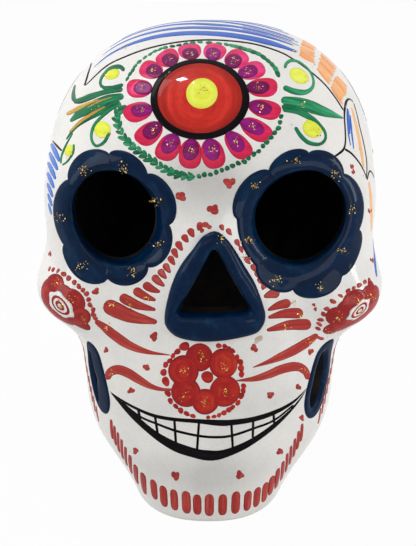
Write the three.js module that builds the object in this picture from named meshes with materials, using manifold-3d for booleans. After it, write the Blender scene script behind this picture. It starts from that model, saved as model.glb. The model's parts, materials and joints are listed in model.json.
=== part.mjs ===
// Sugar skull: a hollow ceramic skull, painted by hand for the Day of the Dead.
// Two press-moulded clay halves meet at a seam round the sides of the head. Blue
// collars line the eye, nose and jaw openings, and thick enamel motifs lie on the clay.
// Millimetres, +Z up. The face looks along -Y and the open rim rests on Z = 0.
import * as THREE from 'three';
import { mergeVertices } from 'three/addons/utils/BufferGeometryUtils.js';
import Module from 'manifold-3d';

const wasm = await Module();
wasm.setup();

// Driving dimensions: the head as a whole
const HEAD_WIDTH = 130;
const HEAD_DEPTH = 154;
const HEAD_HEIGHT = 173.5;
const wide = (share) => share * HEAD_WIDTH;
const deep = (share) => share * HEAD_DEPTH;
const high = (share) => share * HEAD_HEIGHT;

// Driving dimensions: the masses that the head is modelled from
// Each mass has a centre, half sizes, a squareness (2 is an ellipsoid) and a blend,
// the width over which it runs into the masses before it. Masses off the middle are
// mirrored to both sides.
const EYE_CENTRE_X = wide(0.254);
const EYE_CENTRE_Z = high(0.6744);
const CRANIUM = {
  centre: [0, deep(0.0974), high(0.6484)],
  half: [wide(0.5), deep(0.5), high(0.3516)],
  square: 2.35,
  blend: 1,
};
const BROW = {
  centre: [0, deep(-0.1429), high(0.6369)],
  half: [wide(0.4615), deep(0.2662), high(0.219)],
  square: 2.2,
  blend: 12,
};
const UPPER_JAW = {
  centre: [0, deep(-0.2208), high(0.4063)],
  half: [wide(0.3385), deep(0.2143), high(0.2075)],
  square: 2.2,
  blend: 18,
};
const LOWER_JAW = {
  centre: [0, deep(-0.1429), high(0.2622)],
  half: [wide(0.3731), deep(0.2792), high(0.2709)],
  square: 2.3,
  blend: 14,
};
const CHIN = {
  centre: [0, deep(-0.2468), high(0.049)],
  half: [wide(0.2038), deep(0.1883), high(0.2421)],
  square: 2.3,
  blend: 16,
};
const NAPE = {
  centre: [0, deep(0.2597), high(0.1643)],
  half: [wide(0.3231), deep(0.2597), high(0.3458)],
  square: 2.3,
  blend: 22,
};
const CHEEKBONE = {
  centre: [wide(0.3654), deep(-0.1688), high(0.4726)],
  half: [wide(0.1423), deep(0.1818), high(0.0807)],
  square: 2,
  blend: 13,
};
const NASAL_RIDGE = {
  centre: [0, deep(-0.3766), high(0.5562)],
  half: [wide(0.1154), deep(0.0844), high(0.1441)],
  square: 2,
  blend: 12,
};
// The dish pressed into the clay round each eye
const EYE_DISH = {
  centre: [EYE_CENTRE_X, deep(-0.5195), EYE_CENTRE_Z],
  half: [wide(0.2077), deep(0.1461), high(0.1729)],
  square: 2,
  blend: 8,
};
const MASSES = [CRANIUM, BROW, UPPER_JAW, LOWER_JAW, CHIN, NAPE, CHEEKBONE, NASAL_RIDGE];

// Driving dimensions: the clay shell
const CLAY_WALL = 6;
const SEAM_Y = deep(0.052); // where the front and back halves meet
const SEAM_JOINT = 0.3; // thickness of the slip that joins the halves
const SHELL_CENTRE = [0, deep(-0.026), high(0.484)]; // every point of the shell can be seen from here
const SHELL_AROUND = 64;
const SHELL_RINGS = 34;
const CAVITY_AROUND = 32;
const CAVITY_RINGS = 18;

// Driving dimensions: the open underside, seen from the side
const CHIN_HEEL_Y = deep(-0.325); // where the jaw's lower border leaves the table
const NAPE_HEEL_Y = deep(0.221); // where the nape meets the table
const ARCH_Y = deep(0.065); // top of the arch behind the jaw
const ARCH_HEIGHT = high(0.288);
const ARCH_HALF_SPAN = deep(0.07); // half the width over which the arch's top is round
const JAW_BORDER_RUN = deep(0.285); // low stretch of the jaw's lower border
const NAPE_EDGE_RISE = high(0.115); // upright stretch of the nape's front edge

// Driving dimensions: the blue collars
const SEAT = 0.3; // joint between the clay and what lies on it
const ENAMEL = 0.6; // thickness of an enamel motif
const COLLAR_WALL = 1.6; // thickness of a sleeve that lines an opening
const COLLAR_LIP = 1.2; // rounding where a collar turns into its opening
const EYE_BORE_RADIUS = 15.8;
const EYE_SLEEVE_DEPTH = 12;
const EYE_FLOWER_HALF_WIDTH = 23.2;
const EYE_FLOWER_HALF_HEIGHT = 25.6;
const EYE_SCALLOP_DEPTH = 2.6;
const LEFT_EYE_PETALS = 7;
const RIGHT_EYE_PETALS = 8;
const NOSE_X = 2.5; // the painted face sits a little to one side
const NOSE_BASE_Z = high(0.441); // lower edge of the nose collar
const NOSE_OPENING_HALF_WIDTH = 12.5; // of the triangle's lower edge
const NOSE_OPENING_HEIGHT = 24;
const NOSE_COLLAR_WIDTH = 5.6;
const NOSE_BROW_REACH = 21.5; // of the collar over the opening's middle
const NOSE_SILL_WIDTH = 10.5; // of the collar below the opening
const NOSE_COLLAR_RISE = 2.4; // how far the nose collar stands proud
const NOSE_SLEEVE_DEPTH = 11;
const NOSE_CORNER_SHARPNESS = 9;
const NOSE_COLLAR_SHARPNESS = 5;
const JAW_WINDOW_GAP = 0.8; // bare clay between a jaw collar and the mouth's corner
const JAW_COLLAR_DROP = 3.2; // of its top below the level of the cheek flower's lowest petal
const JAW_WINDOW_HALF_DEPTH = 3;
const JAW_WINDOW_HALF_HEIGHT = 11;
const JAW_COLLAR_WIDTH = 3.6; // in front of the window and behind it
const JAW_COLLAR_SILL = 4; // over the window and under it
const JAW_SLEEVE_DEPTH = 9;

// Driving dimensions: the enamel motifs
const MOTIF_GAP = 0.4; // bare line between neighbouring enamels
const ROSETTE_X = -2.5;
const ROSETTE_LIFT = 0.52; // of its centre over the eye flowers, as a share of its radius
const ROSETTE_CENTRE_RADIUS = 5.6;
const ROSETTE_DISC_RADIUS = 15.8;
const ROSETTE_RING_WIDTH = 2;
const ROSETTE_PETAL_LENGTH = 9.8;
const ROSETTE_PETALS = 16;
const ROSETTE_NOTCH_DEPTH = 2.6;
const SPRAY_GAP = 1.6; // bare clay between the rosette and its sprays
const SPRAY_LIFT = 4; // of the leaf's root over the rosette's centre
const LEAF_LENGTH = 22;
const LEAF_RISE = 3; // of the leaf's tip over its root
const LEAF_HALF_WIDTH = 2.2;
const TENDRIL_RUN = 6; // straight start of a tendril before its curl
const TENDRIL_RADIUS = 5; // of the curl round a bud
const TENDRIL_HALF_WIDTH = 0.8;
const BUD_HALF_WIDTH = 3.2;
const BUD_HALF_HEIGHT = 2.6;
const LIP_FLOWER_RADIUS = 13.5;
const LIP_FLOWER_PETALS = 6;
const LIP_FLOWER_EYE_RADIUS = 4.2;
const LIP_FLOWER_DOT_RADIUS = 2.4;
const LIP_FLOWER_GAP = 1.4; // bare clay above and below the lip flower
const CHEEK_FLOWER_X = wide(0.4115);
const CHEEK_FLOWER_DROP = 10.5; // of its middle below the eye flowers' edge
const CHEEK_FLOWER_RADIUS = 11;
const CHEEK_FLOWER_PETALS = 6;
const CHEEK_FLOWER_EYE_RADIUS = 3.8;
const CHEEK_FLOWER_DOT_RADIUS = 2.1;
const FLOWER_NOTCH_DEPTH = 2.2;
const MOUTH_HALF_WIDTH = wide(0.281);
const UPPER_LIP_DROP = 6.6; // how far each line sags below the mouth's corners
const BITE_LINE_DROP = 13;
const LOWER_LIP_DROP = 21.5;
const UPPER_LIP_HALF_WIDTH = 1.2;
const BITE_LINE_HALF_WIDTH = 0.55;
const LOWER_LIP_HALF_WIDTH = 1.9;
const TOOTH_LINE_HALF_WIDTH = 0.5;
const TOOTH_LINES = [-0.7, -0.52, -0.32, -0.09, 0.25, 0.46, 0.68]; // shares of the half width

// Finishes: colour, roughness and metalness
const FINISH = {
  clay: [0xe8e5df, 0.22, 0],
  navy: [0x14294f, 0.15, 0],
  red: [0xb8262a, 0.25, 0],
  pink: [0xe03a66, 0.25, 0],
  yellow: [0xe6ea3c, 0.3, 0],
  green: [0x1f8a52, 0.28, 0],
  black: [0x141014, 0.2, 0],
};

// The head's form: a field that is negative in the clay and about a distance outside it

// Distance to one mass, from the power sum of its scaled coordinates.
function massDistance(p, { centre, half, square }) {
  let sum = 0;
  let slope = 0;
  for (let i = 0; i < 3; i++) {
    const offset = i === 0 && centre[0] !== 0 ? Math.abs(p[0]) - centre[0] : p[i] - centre[i];
    const q = Math.abs(offset) / half[i] + 1e-9;
    sum += q ** square;
    slope += (q ** (square - 1) / half[i]) ** 2;
  }
  const k = sum ** (1 / square);
  return ((k - 1) * k ** (square - 1)) / Math.sqrt(slope);
}

// The smaller of two distances, rounded over a width where they meet.
function softMin(a, b, width) {
  const h = THREE.MathUtils.clamp(0.5 + (0.5 * (b - a)) / width, 0, 1);
  return b + (a - b) * h - width * h * (1 - h);
}

function headField(p) {
  const body = MASSES.reduce((d, m) => softMin(d, massDistance(p, m), m.blend), 1e3);
  return -softMin(-body, massDistance(p, EYE_DISH), EYE_DISH.blend);
}

function headNormal(p, step = 0.2) {
  const n = [0, 1, 2].map((i) => {
    const ahead = p.slice();
    const behind = p.slice();
    ahead[i] += step;
    behind[i] -= step;
    return headField(ahead) - headField(behind);
  });
  return new THREE.Vector3(...n).normalize();
}

const FAR = 220; // outside the head in every direction
const BISECTIONS = 40;

// First point, coming in from outside along a ray, where the field falls to a level.
function castIn(start, direction, level) {
  const at = (t) => [0, 1, 2].map((i) => start.getComponent(i) + direction.getComponent(i) * t);
  let t = 0;
  for (let step = 0; step < 400 && headField(at(t)) > level + 1e-4; step++) {
    t += Math.max(0.02, 0.7 * (headField(at(t)) - level));
  }
  return new THREE.Vector3(...at(t));
}

// Distance from the shell's centre, along a direction, at which the field rises to a level.
function reachOut(direction, level) {
  let near = 0;
  let far = FAR;
  for (let i = 0; i < BISECTIONS; i++) {
    const middle = (near + far) / 2;
    const p = SHELL_CENTRE.map((c, k) => c + direction.getComponent(k) * middle);
    if (headField(p) < level) near = middle;
    else far = middle;
  }
  return near;
}

// Solids

function solidOf(geometry) {
  const bare = geometry.clone();
  bare.deleteAttribute('normal');
  bare.deleteAttribute('uv');
  const merged = mergeVertices(bare, 1e-4);
  return new wasm.Manifold(
    new wasm.Mesh({
      numProp: 3,
      vertProperties: new Float32Array(merged.attributes.position.array),
      triVerts: new Uint32Array(merged.index.array),
    }),
  );
}

function geometryOf(solid) {
  const { vertProperties, triVerts } = solid.getMesh();
  const geometry = new THREE.BufferGeometry();
  geometry.setAttribute('position', new THREE.BufferAttribute(vertProperties, 3));
  geometry.setIndex(new THREE.BufferAttribute(triVerts, 1));
  return geometry;
}

function geometryFrom(points, triangles) {
  const geometry = new THREE.BufferGeometry().setFromPoints(points);
  geometry.setIndex(triangles);
  return solidOf(geometry).volume() < 0
    ? geometry.setIndex(triangles.map((v, i) => triangles[i - (i % 3) + 2 - (i % 3)]))
    : geometry;
}

// A closed ring: a loop of points carried once round, back to where it started.
function ringGeometry(steps, loopAt) {
  const loops = Array.from({ length: steps }, (_, i) => loopAt((i / steps) * 2 * Math.PI));
  const size = loops[0].length;
  const triangles = [];
  for (let i = 0; i < steps; i++) {
    for (let k = 0; k < size; k++) {
      const a = i * size + k;
      const b = i * size + ((k + 1) % size);
      const c = ((i + 1) % steps) * size + k;
      const d = ((i + 1) % steps) * size + ((k + 1) % size);
      triangles.push(a, b, d, a, d, c);
    }
  }
  return geometryFrom(loops.flat(), triangles);
}

// A closed bar: a loop of points carried from one end to the other. The loop's first
// half lies under its second half, which runs back, so that flat strips close the ends.
function barGeometry(steps, loopAt) {
  const loops = Array.from({ length: steps + 1 }, (_, i) => loopAt(i / steps));
  const size = loops[0].length;
  const triangles = [];
  for (let i = 0; i < steps; i++) {
    for (let k = 0; k < size; k++) {
      const a = i * size + k;
      const b = i * size + ((k + 1) % size);
      triangles.push(a, b, b + size, a, b + size, a + size);
    }
  }
  const last = steps * size;
  for (let k = 0; k < size / 2 - 1; k++) {
    const [a, b, c, d] = [k, k + 1, size - 2 - k, size - 1 - k];
    triangles.push(a, c, b, a, d, c);
    triangles.push(last + a, last + b, last + c, last + a, last + c, last + d);
  }
  return geometryFrom(loops.flat(), triangles);
}

// The head's surface at a level of the field, as a closed skin round the shell's centre.
function skinGeometry(level, around, rings) {
  const sphere = new THREE.SphereGeometry(1, around, rings).rotateX(Math.PI / 2);
  const position = sphere.attributes.position;
  const direction = new THREE.Vector3();
  for (let i = 0; i < position.count; i++) {
    direction.fromBufferAttribute(position, i).normalize();
    direction.multiplyScalar(reachOut(direction, level));
    position.setXYZ(i, ...SHELL_CENTRE.map((c, k) => c + direction.getComponent(k)));
  }
  return sphere;
}

// Charts: flat drawing planes in front of the head, from which points drop onto it

class Chart {
  constructor(origin, out, upHint = new THREE.Vector3(0, 0, 1)) {
    this.out = out.clone().normalize();
    this.right = new THREE.Vector3().crossVectors(upHint, this.out).normalize();
    this.up = new THREE.Vector3().crossVectors(this.out, this.right);
    this.origin = origin;
  }

  // The point over (u, v), at a height along the chart's outward axis.
  over(u, v, height) {
    return this.origin
      .clone()
      .addScaledVector(this.right, u)
      .addScaledVector(this.up, v)
      .addScaledVector(this.out, height);
  }

  // The point on the head under (u, v), raised to a level of the field.
  drop(u, v, level) {
    return castIn(this.over(u, v, FAR), this.out.clone().negate(), level);
  }
}

const FRONT = new THREE.Vector3(0, -1, 0);
const frontChart = (x, z) => new Chart(new THREE.Vector3(x, 0, z), FRONT);
const sideChart = (side, y, z) => new Chart(new THREE.Vector3(0, y, z), new THREE.Vector3(side, 0, 0));

// A chart square to the head at a place seen from the front.
function squareChart(x, z) {
  const foot = frontChart(x, z).drop(0, 0, 0);
  return new Chart(foot, headNormal(foot.toArray()));
}

// Outlines: the radius at an angle

// An oval with n round petals, with notches between them.
const petalled = (halfWidth, halfHeight, petals, notch, turn = 0) => (angle) => {
  const oval = 1 / Math.hypot(Math.cos(angle) / halfWidth, Math.sin(angle) / halfHeight);
  const swell = Math.abs(Math.cos((petals * (angle - turn)) / 2));
  return oval - notch * (1 - Math.sqrt(swell));
};
const round = (radius) => () => radius;
const oval = (halfWidth, halfHeight) => petalled(halfWidth, halfHeight, 0, 0);

// A triangle with soft corners and its point up, round a middle at a third of its height.
// It is widened by one margin at its two slopes and by another at its sill, and cut off at
// a reach over its middle.
const softTriangle = (halfWidth, height, margin, sill, top, sharpness) => {
  const slope = Math.atan2(halfWidth, height);
  const flank = (2 / 3) * height * Math.sin(slope) + margin;
  const sides = [
    [0, -1, height / 3 + sill],
    [0, 1, top],
    [Math.cos(slope), Math.sin(slope), flank],
    [-Math.cos(slope), Math.sin(slope), flank],
  ];
  return (angle) => {
    const reaches = sides.map(([a, b, reach]) => (a * Math.cos(angle) + b * Math.sin(angle)) / reach);
    const sum = reaches.reduce((s, q) => s + Math.max(0, q) ** sharpness, 0);
    return sum ** (-1 / sharpness);
  };
};

// Pieces that lie on the clay

// The angle at an even share of the way round an outline that is taller than it is wide.
const angleAt = (turn, slender) => Math.atan2(slender * Math.sin(turn), Math.cos(turn));

// A collar: a flange that lies on the clay, a rounded lip, and a sleeve that lines the
// opening. It is carried round the opening's outline.
function collarGeometry(chart, { steps, bore, flange, rise, depth, slender = 1 }) {
  return ringGeometry(steps, (turn) => {
    const angle = angleAt(turn, slender);
    const [u, v] = [Math.cos(angle), Math.sin(angle)];
    const inner = bore(angle);
    const outer = flange(angle);
    const sleeve = inner + COLLAR_WALL;
    const lip = sleeve + COLLAR_LIP;
    const middle = (lip + outer) / 2;
    const on = (radius, level) => chart.drop(radius * u, radius * v, level);
    const rim = on(inner, SEAT).sub(chart.origin).dot(chart.out);
    const within = (radius, height) => chart.over(radius * u, radius * v, height);
    return [
      on(outer, SEAT),
      on(outer - ENAMEL / 2, SEAT + ENAMEL),
      on(middle, SEAT + rise),
      on(lip, SEAT + rise),
      within(inner + COLLAR_LIP / 3, rim),
      within(inner, rim - COLLAR_LIP),
      within(inner, rim - depth),
      within(sleeve, rim - depth),
      on(sleeve, SEAT),
      on(middle, SEAT),
    ];
  });
}

// An opening through the clay for a collar's sleeve, drilled from the outside.
function boreTool(chart, bore, steps, from, to, slender = 1) {
  const ring = (height) => (angle) => {
    const radius = bore(angle) + COLLAR_WALL + SEAT;
    return chart.over(radius * Math.cos(angle), radius * Math.sin(angle), height);
  };
  const points = [];
  for (let i = 0; i < steps; i++) {
    const angle = angleAt((i / steps) * 2 * Math.PI, slender);
    points.push(ring(from)(angle), ring(to)(angle));
  }
  points.push(chart.over(0, 0, from), chart.over(0, 0, to));
  const triangles = [];
  for (let i = 0; i < steps; i++) {
    const [a, b] = [2 * i, 2 * i + 1];
    const [c, d] = [(2 * i + 2) % (2 * steps), (2 * i + 3) % (2 * steps)];
    triangles.push(a, b, d, a, d, c, a, c, 2 * steps, b, 2 * steps + 1, d);
  }
  return solidOf(geometryFrom(points, triangles));
}

// An enamel band between two outlines.
function bandGeometry(chart, { steps, inner, outer, rings = 1 }) {
  return ringGeometry(steps, (angle) => {
    const [u, v] = [Math.cos(angle), Math.sin(angle)];
    const at = (share, level) => {
      const radius = THREE.MathUtils.lerp(inner(angle), outer(angle), share);
      return chart.drop(radius * u, radius * v, level);
    };
    const shares = Array.from({ length: rings + 1 }, (_, i) => i / rings);
    return [
      ...shares.map((share) => at(share, SEAT)),
      ...shares.reverse().map((share) => at(share, SEAT + ENAMEL)),
    ];
  });
}

const LEAST_WIDTH = 0.2; // half width left at the end of a brush stroke

// A brush stroke along a line, with a half width that varies from its start to its end.
function strokeGeometry(chart, { steps, across = 1, line, halfWidth }) {
  return barGeometry(steps, (t) => {
    const here = line(t);
    const ahead = line(Math.min(1, t + 1e-3)).sub(line(Math.max(0, t - 1e-3))).normalize();
    const half = Math.max(LEAST_WIDTH, halfWidth(t));
    const at = (share, level) => {
      const offset = half * (2 * share - 1);
      return chart.drop(here.x - ahead.y * offset, here.y + ahead.x * offset, level);
    };
    const shares = Array.from({ length: across + 1 }, (_, i) => i / across);
    return [
      ...shares.map((share) => at(share, SEAT)),
      ...shares.reverse().map((share) => at(share, SEAT + ENAMEL)),
    ];
  });
}

// An oval dab of enamel, drawn as one broad stroke.
const dabGeometry = (chart, u, v, halfWidth, halfHeight, steps = 8, across = 2) =>
  strokeGeometry(chart, {
    steps,
    across,
    line: (t) => new THREE.Vector2(u - halfWidth * Math.cos(Math.PI * t), v),
    halfWidth: (t) => halfHeight * Math.sin(Math.PI * t),
  });

// Assembly

const skull = new THREE.Group();

function addPiece(name, finish, geometry) {
  const [color, roughness, metalness] = FINISH[finish];
  const material = new THREE.MeshStandardMaterial({ color, roughness, metalness });
  geometry.computeVertexNormals();
  const mesh = new THREE.Mesh(geometry, material);
  mesh.name = name;
  skull.add(mesh);
}

// Eye collars: flowers with scalloped flanges
const EYE_STEPS = 4; // facets to a petal
const eyeBore = round(EYE_BORE_RADIUS);
const EYES = [
  ['left_eye_collar', -1, LEFT_EYE_PETALS],
  ['right_eye_collar', 1, RIGHT_EYE_PETALS],
].map(([name, side, petals]) => ({
  name,
  petals,
  chart: frontChart(side * EYE_CENTRE_X, EYE_CENTRE_Z),
}));
for (const { name, chart, petals } of EYES) {
  addPiece(
    name,
    'navy',
    collarGeometry(chart, {
      steps: petals * EYE_STEPS,
      bore: eyeBore,
      flange: petalled(EYE_FLOWER_HALF_WIDTH, EYE_FLOWER_HALF_HEIGHT, petals, EYE_SCALLOP_DEPTH, Math.PI / 2),
      rise: ENAMEL,
      depth: EYE_SLEEVE_DEPTH,
    }),
  );
}

// Nose collar: a raised triangular frame
const noseBore = softTriangle(
  NOSE_OPENING_HALF_WIDTH,
  NOSE_OPENING_HEIGHT,
  0,
  0,
  NOSE_OPENING_HEIGHT,
  NOSE_CORNER_SHARPNESS,
);
const noseChart = frontChart(NOSE_X, NOSE_BASE_Z + NOSE_SILL_WIDTH + NOSE_OPENING_HEIGHT / 3);
const NOSE_STEPS = 36;
addPiece(
  'nose_collar',
  'navy',
  collarGeometry(noseChart, {
    steps: NOSE_STEPS,
    bore: noseBore,
    flange: softTriangle(
      NOSE_OPENING_HALF_WIDTH,
      NOSE_OPENING_HEIGHT,
      NOSE_COLLAR_WIDTH,
      NOSE_SILL_WIDTH,
      NOSE_BROW_REACH,
      NOSE_COLLAR_SHARPNESS,
    ),
    rise: NOSE_COLLAR_RISE,
    depth: NOSE_SLEEVE_DEPTH,
  }),
);

// Face layout: the lip flower hangs under the nose, the mouth hangs under the lip flower,
// and the jaw windows lie behind the mouth's corners and under the cheek flowers
const lipFlowerZ = NOSE_BASE_Z - LIP_FLOWER_GAP - LIP_FLOWER_RADIUS;
const upperLipZ = lipFlowerZ - LIP_FLOWER_RADIUS - LIP_FLOWER_GAP - UPPER_LIP_HALF_WIDTH;
const mouthCornerZ = upperLipZ + UPPER_LIP_DROP;
const mouthCornerY = frontChart(MOUTH_HALF_WIDTH, mouthCornerZ).drop(0, 0, 0).y;
const jawWindowY = mouthCornerY + JAW_WINDOW_GAP + JAW_COLLAR_WIDTH + JAW_WINDOW_HALF_DEPTH;
const cheekFlowerZ = EYE_CENTRE_Z - EYE_FLOWER_HALF_HEIGHT - CHEEK_FLOWER_DROP;
const jawCollarTop = cheekFlowerZ - CHEEK_FLOWER_RADIUS - JAW_COLLAR_DROP;
const jawWindowZ = jawCollarTop - JAW_COLLAR_SILL - JAW_WINDOW_HALF_HEIGHT;

// Jaw collars: upright ovals in the sides of the jaw, with their facets spread evenly round them
const jawBore = oval(JAW_WINDOW_HALF_DEPTH, JAW_WINDOW_HALF_HEIGHT);
const JAW_STEPS = 24;
const JAW_SLENDER = JAW_WINDOW_HALF_HEIGHT / JAW_WINDOW_HALF_DEPTH;
const JAWS = [
  ['left_jaw_collar', -1],
  ['right_jaw_collar', 1],
].map(([name, side]) => ({ name, chart: sideChart(side, jawWindowY, jawWindowZ) }));
for (const { name, chart } of JAWS) {
  addPiece(
    name,
    'navy',
    collarGeometry(chart, {
      steps: JAW_STEPS,
      bore: jawBore,
      slender: JAW_SLENDER,
      flange: oval(JAW_WINDOW_HALF_DEPTH + JAW_COLLAR_WIDTH, JAW_WINDOW_HALF_HEIGHT + JAW_COLLAR_SILL),
      rise: ENAMEL,
      depth: JAW_SLEEVE_DEPTH,
    }),
  );
}

// Clay halves: the shell, opened below, drilled for its collars and parted at the seam
function undersideTool() {
  const side = new THREE.Shape();
  side.moveTo(CHIN_HEEL_Y, -FAR);
  side.lineTo(CHIN_HEEL_Y, 0);
  const [before, after] = [ARCH_Y - ARCH_HALF_SPAN, ARCH_Y + ARCH_HALF_SPAN];
  side.bezierCurveTo(CHIN_HEEL_Y + JAW_BORDER_RUN, 0, before, ARCH_HEIGHT, ARCH_Y, ARCH_HEIGHT);
  side.bezierCurveTo(after, ARCH_HEIGHT, NAPE_HEEL_Y, NAPE_EDGE_RISE, NAPE_HEEL_Y, 0);
  side.lineTo(NAPE_HEEL_Y, -FAR);
  const arch = new THREE.ExtrudeGeometry(side, { depth: 2 * FAR, bevelEnabled: false, curveSegments: 10 });
  arch.translate(0, 0, -FAR);
  arch.applyMatrix4(new THREE.Matrix4().set(0, 0, 1, 0, 1, 0, 0, 0, 0, 1, 0, 0, 0, 0, 0, 1));
  return solidOf(arch);
}

const boxTool = (y0, y1, z0, z1) =>
  solidOf(
    new THREE.BoxGeometry(2 * FAR, y1 - y0, z1 - z0).translate(0, (y0 + y1) / 2, (z0 + z1) / 2),
  );

const INTO_CAVITY = 20; // a drill starts outside the head and stops this far from the shell's middle
let clay = solidOf(skinGeometry(0, SHELL_AROUND, SHELL_RINGS))
  .subtract(solidOf(skinGeometry(-CLAY_WALL, CAVITY_AROUND, CAVITY_RINGS)))
  .subtract(boxTool(-FAR, FAR, -FAR, 0))
  .subtract(undersideTool());
for (const { chart, petals } of EYES) {
  clay = clay.subtract(boreTool(chart, eyeBore, petals * EYE_STEPS, FAR, INTO_CAVITY));
}
clay = clay.subtract(boreTool(noseChart, noseBore, NOSE_STEPS, FAR, INTO_CAVITY));
for (const { chart } of JAWS) {
  clay = clay.subtract(boreTool(chart, jawBore, JAW_STEPS, FAR, INTO_CAVITY, JAW_SLENDER));
}
const face = clay.intersect(boxTool(-FAR, SEAM_Y - SEAM_JOINT / 2, -FAR, FAR));
const back = clay.intersect(boxTool(SEAM_Y + SEAM_JOINT / 2, FAR, -FAR, FAR));
addPiece('face_casting', 'clay', geometryOf(face));
addPiece('cranium_casting', 'clay', geometryOf(back));

// Forehead rosette: a yellow centre, a red disc, a black ring and a wreath of petals
const ringInner = ROSETTE_DISC_RADIUS + MOTIF_GAP;
const ringOuter = ringInner + ROSETTE_RING_WIDTH;
const petalsOuter = ringOuter + MOTIF_GAP + ROSETTE_PETAL_LENGTH;
const eyeFlowersTop = EYE_CENTRE_Z + EYE_FLOWER_HALF_HEIGHT;
const rosetteChart = squareChart(ROSETTE_X, eyeFlowersTop + ROSETTE_LIFT * petalsOuter);
addPiece(
  'rosette_centre',
  'yellow',
  dabGeometry(rosetteChart, 0, 0, ROSETTE_CENTRE_RADIUS, ROSETTE_CENTRE_RADIUS, 10, 3),
);
addPiece(
  'rosette_disc',
  'red',
  bandGeometry(rosetteChart, {
    steps: 32,
    inner: round(ROSETTE_CENTRE_RADIUS + MOTIF_GAP),
    outer: round(ROSETTE_DISC_RADIUS),
  }),
);
addPiece(
  'rosette_ring',
  'black',
  bandGeometry(rosetteChart, { steps: 32, inner: round(ringInner), outer: round(ringOuter) }),
);
addPiece(
  'rosette_petals',
  'pink',
  bandGeometry(rosetteChart, {
    steps: ROSETTE_PETALS * 4,
    inner: round(ringOuter + MOTIF_GAP),
    outer: petalled(petalsOuter, petalsOuter, ROSETTE_PETALS, ROSETTE_NOTCH_DEPTH),
  }),
);

// Sprays beside the rosette: a leaf, two tendrils and the buds that they curl round
const sprayRoot = petalsOuter + SPRAY_GAP;
for (const [hand, side] of [
  ['left', -1],
  ['right', 1],
]) {
  addPiece(
    `${hand}_leaf`,
    'green',
    strokeGeometry(rosetteChart, {
      steps: 10,
      line: (t) => new THREE.Vector2(side * (sprayRoot + LEAF_LENGTH * t), SPRAY_LIFT + LEAF_RISE * t),
      halfWidth: (t) => LEAF_HALF_WIDTH * Math.sin(Math.PI * (0.18 + 0.82 * t)),
    }),
  );
  for (const [place, turn] of [
    ['upper', 1],
    ['lower', -1],
  ]) {
    const budU = side * (sprayRoot + TENDRIL_RUN);
    const budV = SPRAY_LIFT + turn * (LEAF_HALF_WIDTH + LEAF_RISE + TENDRIL_HALF_WIDTH + TENDRIL_RADIUS);
    addPiece(
      `${hand}_${place}_tendril`,
      'green',
      strokeGeometry(rosetteChart, {
        steps: 14,
        line: (t) => {
          const run = TENDRIL_RUN / (TENDRIL_RUN + 1.3 * Math.PI * TENDRIL_RADIUS);
          if (t < run) {
            return new THREE.Vector2(budU - side * TENDRIL_RUN * (1 - t / run), budV - turn * TENDRIL_RADIUS);
          }
          const angle = 1.3 * Math.PI * ((t - run) / (1 - run));
          return new THREE.Vector2(
            budU + side * TENDRIL_RADIUS * Math.sin(angle),
            budV - turn * TENDRIL_RADIUS * Math.cos(angle),
          );
        },
        halfWidth: (t) => TENDRIL_HALF_WIDTH * (1 - 0.3 * t),
      }),
    );
    addPiece(
      `${hand}_${place}_bud`,
      'yellow',
      dabGeometry(rosetteChart, budU, budV, BUD_HALF_WIDTH, BUD_HALF_HEIGHT),
    );
  }
}

// Flowers on the lip and the cheeks: a wreath of petals with a dot in its open eye
function addFlower(name, chart, radius, petals, eyeRadius, dotRadius, turn) {
  addPiece(
    `${name}_flower`,
    'red',
    bandGeometry(chart, {
      steps: petals * 4,
      inner: petalled(eyeRadius, eyeRadius, petals, -MOTIF_GAP, turn),
      outer: petalled(radius, radius, petals, FLOWER_NOTCH_DEPTH, turn),
      rings: 2,
    }),
  );
  addPiece(`${name}_flower_dot`, 'red', dabGeometry(chart, 0, 0, dotRadius, dotRadius, 6, 1));
}
addFlower(
  'lip',
  frontChart(0, lipFlowerZ),
  LIP_FLOWER_RADIUS,
  LIP_FLOWER_PETALS,
  LIP_FLOWER_EYE_RADIUS,
  LIP_FLOWER_DOT_RADIUS,
  Math.PI / 2,
);
for (const [name, side] of [
  ['left_cheek', -1],
  ['right_cheek', 1],
]) {
  addFlower(
    name,
    squareChart(side * CHEEK_FLOWER_X, cheekFlowerZ),
    CHEEK_FLOWER_RADIUS,
    CHEEK_FLOWER_PETALS,
    CHEEK_FLOWER_EYE_RADIUS,
    CHEEK_FLOWER_DOT_RADIUS,
    0,
  );
}

// Mouth: two lips and the bite line meet at the corners, with lines between the teeth
const mouthChart = frontChart(0, mouthCornerZ);
const sagAt = (drop, x) => -drop * (1 - (x / MOUTH_HALF_WIDTH) ** 2);
const lipStroke = (drop, half) =>
  solidOf(
    strokeGeometry(mouthChart, {
      steps: 18,
      line: (t) => {
        const x = MOUTH_HALF_WIDTH * (2 * t - 1);
        return new THREE.Vector2(x, sagAt(drop, x));
      },
      halfWidth: (t) => half * (0.35 + 0.65 * Math.sin(Math.PI * t)),
    }),
  );
let mouth = lipStroke(UPPER_LIP_DROP, UPPER_LIP_HALF_WIDTH)
  .add(lipStroke(BITE_LINE_DROP, BITE_LINE_HALF_WIDTH))
  .add(lipStroke(LOWER_LIP_DROP, LOWER_LIP_HALF_WIDTH));
for (const share of TOOTH_LINES) {
  const x = share * MOUTH_HALF_WIDTH;
  mouth = mouth.add(
    solidOf(
      strokeGeometry(mouthChart, {
        steps: 4,
        line: (t) =>
          new THREE.Vector2(x, THREE.MathUtils.lerp(sagAt(UPPER_LIP_DROP, x), sagAt(LOWER_LIP_DROP, x), t)),
        halfWidth: () => TOOTH_LINE_HALF_WIDTH,
      }),
    ),
  );
}
addPiece('mouth', 'black', geometryOf(mouth));

// The frame: the middle of the skull's length and width stands over the origin
const middle = new THREE.Box3().setFromObject(skull).getCenter(new THREE.Vector3());
skull.position.set(-middle.x, -middle.y, 0);

export default skull;
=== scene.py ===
import json
import math

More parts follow.
